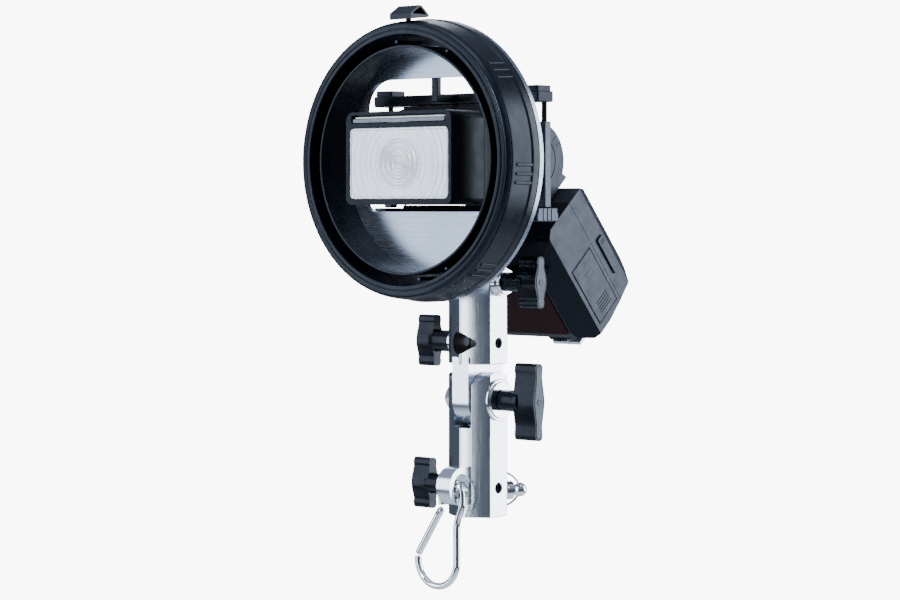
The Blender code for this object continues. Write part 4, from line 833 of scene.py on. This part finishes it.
# ------------------------------------------------------------------ flash neck and body
def flash_body():
    ears = outline_mesh([arc(0, 0, 21.4, -60, 240, 120) + [(-12, -22.6), (12, -22.6)]], -26.4, 26.4, "YZ")
    ears = soften(ears, 0.9, 4, 50)
    ears = cut(ears, box_mesh((-21.8, 21.8), (-40, 40), (-19.4, 40)))
    ears = join(ears, turned_mesh([(0.001, -25.0), (15.6, -25.0), (16.0, -24.6), (16.0, -22.4), (15.6, -22.0), (0.001, -22.0)], (0, -6, 0), "Z", 96))
    ears = cut(ears, rod_mesh((-25, 0, 0), (30, 0, 0), 3.0, seg=32))
    # button's seat, with a moulded ring round it
    ears = cut(ears, rod_mesh((23.9, 0, 0), (30, 0, 0), 9.1, seg=96))
    for side in (-1, 1):
        groove = turned_mesh([(13.2, 26.0), (13.8, 26.0), (13.8, 28), (13.2, 28)], (0, 0, 0), "X", 96)
        if side < 0:
            groove.transform(Matrix.Rotation(math.pi, 4, "Z"))
        ears = cut(ears, groove)
        for i in range(7):
            a = math.radians(-40 + i * 15)
            tick = box_mesh(sorted((side * 26.15, side * 27)), (-0.25, 0.25), (16.4, 19.6 if i % 3 else 20.4))
            tick.transform(Matrix.Rotation(a - math.radians(60), 4, "X"))
            ears = cut(ears, tick)
    ears = join(ears, turned_mesh([(0.001, -27.8), (7.9, -27.8), (8.7, -27.0), (8.7, -26.0), (0.001, -26.0)], (0, 0, 0), "X", 72))
    ears = cut(ears, rod_mesh((-21.8, 0, 0), (21.8, 0, 0), 19.4, seg=96))
    piece("neck_ears", ears, "flash_side", "flash_neck", "neck_yoke", 30, True)
    m = turned_mesh([(0.001, 25.5), (8.3, 25.5), (8.7, 25.9), (8.7, 27.1), (8.3, 27.6), (7.6, 27.8), (6.9, 27.65), (0.001, 27.3)], (0, 0, 0), "X", 96)
    piece("neck_button", m, "flash_side", "tilt_button", "tilt_release_button", 30, True)

    side_profile = [(-30, -25.6), (6, -25.6), (11.5, -31), (12, -84), (10, -91), (4.5, -97), (-8, -99.5), (-22, -101.5), (-38, -101.5),
                    (-45.0, -95.0), (-46.5, -90.0), (-46.5, -52.0), (-39.5, -44.0), (-35.5, -30.5)]
    plan = [(-38.5, 5), (-34, 12.5), (34, 12.5), (38.5, 5), (38.5, -34), (29.5, -47), (-29.5, -47), (-38.5, -34)]
    whole = combine(outline_mesh([side_profile], -38.4, 38.4, "YZ"), outline_mesh([plan], -130, 0, "XY"), "INTERSECT")
    whole = soften(whole, 1.3, 4, 14)
    def half(v0, v1, cavity):
        m = combine(whole.copy(), box_mesh((-60, 60), (v0, v1), (-130, 10)), "INTERSECT")
        return cut(m, box_mesh(*cavity))
    front = half(-60, SEAM_V - 0.15, ((-35.6, 35.6), (-34.2, 20), (-97.5, -29.0)))
    rear = half(SEAM_V + 0.15, 40, ((-35.6, 35.6), (-40, 9.6), (-92.0, -29.0)))
    front = cut(front, outline_mesh([rounded_rect(-28.4, 28.4, -91.0, -53.6, 2.5)], -60, -43.6, "XZ"))
    front = cut(front, box_mesh((35, 50), (-31.6, -9.6), (-96.6, -56.4)))
    # upper panel line on the left side too, so that both sides are dressed alike
    front = cut(front, outline_mesh([rounded_rect(-31.6, -9.6, -96.4, -56.6, 1.6, 6), rounded_rect(-31.2, -10.0, -96.0, -57.0, 1.4, 6)], -50, -38.1, "YZ"))
    rear = cut(rear, outline_mesh([rounded_rect(-22, 22, -60.3, -34.7, 1.5, 6)], 9, 20, "XZ"))
    rear = cut(rear, rod_mesh((0, 5, -76), (0, 20, -76), 3.6, seg=40))
    for x in (-24, 24):
        rear = cut(rear, rod_mesh((x, 5, -76), (x, 20, -76), 2.3, seg=32))
    # moulded frame round the display and a ring round the dial
    rear = cut(rear, outline_mesh([rounded_rect(-24.6, 24.6, -62.9, -32.1, 3, 6), rounded_rect(-24.1, 24.1, -62.4, -32.6, 2.6, 6)], 11.6, 14, "XZ"))
    rear = cut(rear, turned_mesh([(10.2, 11.6), (10.7, 11.6), (10.7, 14), (10.2, 14)], (0, 0, -76), "Y", 80))
    case = piece("flash_front_case", front, "flash_side", "flash_body", "body_front_shell", 24, True)
    inside(case, "flash_plastic", lambda c, n: n.y < -0.3 or abs(c.x) < 37.0)
    piece("flash_rear_case", rear, "flash_side", "flash_body", "body_rear_shell", 24, True)

    # red window with softened edges that follow its frame
    m = soften(outline_mesh([rounded_rect(-28.0, 28.0, -90.7, -53.9, 2.3)], -46.9, -43.9, "XZ"), 0.8, 4, 50)
    piece("red_window", m, "ir_red", "flash_body", "ir_window", 30, True)

    m = soften(box_mesh((35.4, 38.7), (-31.2, -10.0), (-96.2, -56.8)), 0.6, 3, 40)
    for i in range(5):
        m = cut(m, box_mesh((38.4, 40), (-26.5, -14.5), (-92.5 + i * 1.8, -91.8 + i * 1.8)))
    m = join(m, soften(outline_mesh([[(-24, -66), (-17, -66), (-20.5, -71)]], 38.4, 38.95, "YZ"), 0.15, 2, 30))
    piece("battery_lid", m, "flash_side", "door", "battery_door", 30, True)
    m = soften(outline_mesh([rounded_rect(-2.5, 3.5, -84, -58, 1.2, 6)], 38.8, 39.6, "YZ"), 0.3, 3, 40)
    m = cut(m, box_mesh((39.35, 41), (-1.2, 2.2), (-60.6, -60.1)), box_mesh((39.35, 41), (-1.2, 2.2), (-62.0, -61.5)))
    piece("port_flap", m, "flash_side", "flash_body", "port_cover", 30, True)
    m = soften(outline_mesh([rounded_rect(-21.6, 21.6, -59.9, -35.1, 1.4, 6)], 10.2, 12.2, "XZ"), 0.3, 2, 50)
    piece("display", m, "lcd", "flash_body", "lcd_window", 30, True)

    rim = []
    for i in range(144):
        a = 2 * math.pi * i / 144
        r = 9.0 if (i // 2) % 2 else 8.75
        rim.append((r * math.cos(a), r * math.sin(a) - 76))
    m = soften(outline_mesh([rim], 12.9, 15.2, "XZ"), 0.2, 2, 60)
    m = cut(m, turned_mesh([(0.001, 14.7), (5.6, 14.7), (6.2, 15.3), (6.2, 16), (0.001, 16)], (0, 0, -76), "Y", 64))
    m = join(m, rod_mesh((0, 6.5, -76), (0, 14, -76), 3.2, seg=32))
    m = join(m, turned_mesh([(0.001, 14.6), (4.4, 14.6), (4.4, 15.1), (4.0, 15.4), (0.001, 15.35)], (0, 0, -76), "Y", 64))
    piece("dial_wheel", m, "flash_plastic", "dial", "control_dial", 30, True)
    for x, name in ((-24, "left"), (24, "right")):
        m = turned_mesh([(0.001, 6.5), (1.9, 6.5), (1.9, 13.8), (3.8, 13.8), (4.0, 14.0), (4.0, 14.8), (3.6, 15.2), (0.001, 15.05)], (x, 0, -76), "Y", 64)
        piece(f"push_button_{name}", m, "flash_plastic", f"button_{name}", f"{name}_button", 30, True)

    # shoe: blade foot and a toothed lock ring
    m = turned_mesh([(0.001, -117.5), (8.2, -117.5), (8.2, -101.8), (0.001, -101.8)], (0, SHOE_V, 0), "Z", 72)
    m = join(m, soften(box_mesh((-10.3, 10.3), (SHOE_V - 10.3, SHOE_V + 10.3), (-119.2, -117.0)), 0.4, 3, 40))
    piece("shoe_blade", m, "small_steel", "flash_body", "shoe_foot", 30, True)
    for i, (x, v) in enumerate(((0, 0), (-4.3, -5), (4.3, -5), (-4.3, 4.6))):
        pin = turned_mesh([(0.001, -119.5), (0.5, -119.5), (0.85, -119.3), (0.85, -119.0), (0.001, -119.0)], (x, SHOE_V + v, 0), "Z", 24)
        piece(f"shoe_contact_{i + 1}", pin, "chrome", "flash_body", None, 30, True)
    teeth = []
    for i in range(192):
        a = 2 * math.pi * i / 192
        r = 15.35 if (i // 2) % 2 else 14.5
        teeth.append((r * math.cos(a), SHOE_V + r * math.sin(a)))
    m = outline_mesh([teeth, arc(0, SHOE_V, 8.6, 0, 360, 72)[:-1]], -112.2, -104.6, "XY")
    piece("shoe_wheel", soften(m, 0.3, 2, 60), "flash_plastic", "shoe_lock", "shoe_lock_ring", 30, True)


bars()
fasteners()
hook()
ring()
clamp()
head()
flash_body()

# the CAD nodes that stay get the finish of their slot
slots = {s["node"]: s["material_slot"] for s in frame["record"]["subparts"]}
for node, obj in frame["nodes"].items():
    if obj.hide_render:
        continue
    look = L.get(slots.get(node, ""), L["flash_plastic"]).m
    if not obj.material_slots:
        obj.data.materials.append(look)
    for s in obj.material_slots:
        s.material = look


# ------------------------------------------------------------------ stage and light
bm = bmesh.new()
bmesh.ops.create_circle(bm, cap_ends=True, segments=128, radius=1.9)
floor_mesh = finish_mesh(bm, "floor")
floor = bpy.data.objects.new("floor", floor_mesh)
floor.location = (0, 0, -0.95)
ROOT.objects.link(floor)
paper = Look("floor_paper", (0.80, 0.81, 0.83))
paper.tint(paper.noise(3.0, 3.0), (0.76, 0.77, 0.79), 0.4, 0.7, 0.5)
paper.rough(paper.noise(40.0, 3.0), 0.75, 0.9)
floor.data.materials.append(paper.m)

# soft room: white to look at, dimmer and cooler where the object reflects it
world = bpy.data.worlds.new("studio")
bpy.context.scene.world = world
world.use_nodes = True
wt = world.node_tree
dim = wt.nodes["Background"]
coords = wt.nodes.new("ShaderNodeTexCoord")
split = wt.nodes.new("ShaderNodeSeparateXYZ")
ramp = wt.nodes.new("ShaderNodeValToRGB")
half = wt.nodes.new("ShaderNodeMapRange")
half.inputs["From Min"].default_value = -1.0
wt.links.new(coords.outputs["Generated"], split.inputs[0])
wt.links.new(split.outputs["Z"], half.inputs["Value"])
wt.links.new(half.outputs["Result"], ramp.inputs["Fac"])
ramp.color_ramp.elements[0].position = 0.30
ramp.color_ramp.elements[0].color = (0.090, 0.105, 0.135, 1)
ramp.color_ramp.elements[1].position = 1.0
ramp.color_ramp.elements[1].color = (0.42, 0.50, 0.64, 1)
mid = ramp.color_ramp.elements.new(0.52)
mid.color = (0.060, 0.076, 0.105, 1)
wt.links.new(ramp.outputs["Color"], dim.inputs["Color"])
dim.inputs["Strength"].default_value = 1.0
white = wt.nodes.new("ShaderNodeBackground")
white.inputs["Color"].default_value = (1, 1, 1, 1)
white.inputs["Strength"].default_value = 9.0
path = wt.nodes.new("ShaderNodeLightPath")
mixer = wt.nodes.new("ShaderNodeMixShader")
wt.links.new(path.outputs["Is Camera Ray"], mixer.inputs[0])
wt.links.new(dim.outputs[0], mixer.inputs[1])
wt.links.new(white.outputs[0], mixer.inputs[2])
wt.links.new(mixer.outputs[0], wt.nodes["World Output"].inputs["Surface"])


def softbox(name, place, target, size, radiance, colour=(1, 1, 1)):
    data = bpy.data.lights.new(name, "AREA")
    data.shape = "RECTANGLE"
    data.size, data.size_y = size
    data.energy = radiance * math.pi * size[0] * size[1]
    data.color = colour
    o = bpy.data.objects.new(name, data)
    o.location = place
    o.rotation_euler = (Vector(target) - Vector(place)).to_track_quat("-Z", "Y").to_euler()
    ROOT.objects.link(o)


softbox("key_right_rear", (1.00, 1.05, 0.30), (0, 0, 0.15), (0.95, 1.6), 7.0, (0.88, 0.94, 1.0))
softbox("front_left", (-0.95, -1.05, 0.30), (0, 0, 0.17), (0.55, 1.3), 4.2, (0.84, 0.91, 1.0))
softbox("front", (0.10, -1.76, 0.20), (0, 0, 0.12), (0.40, 1.4), 5.0, (0.86, 0.93, 1.0))
softbox("front_high", (-0.06, -1.30, 0.62), (0, 0, 0.18), (0.26, 0.26), 46.0, (0.90, 0.95, 1.0))
softbox("top", (0.1, -0.2, 1.5), (0, 0, 0.16), (1.2, 1.0), 3.2, (0.86, 0.93, 1.0))
softbox("rear_left", (-1.0, 1.1, 0.5), (0, 0, 0.18), (0.5, 1.2), 2.2, (0.86, 0.93, 1.0))

bpy.context.view_layer.update()
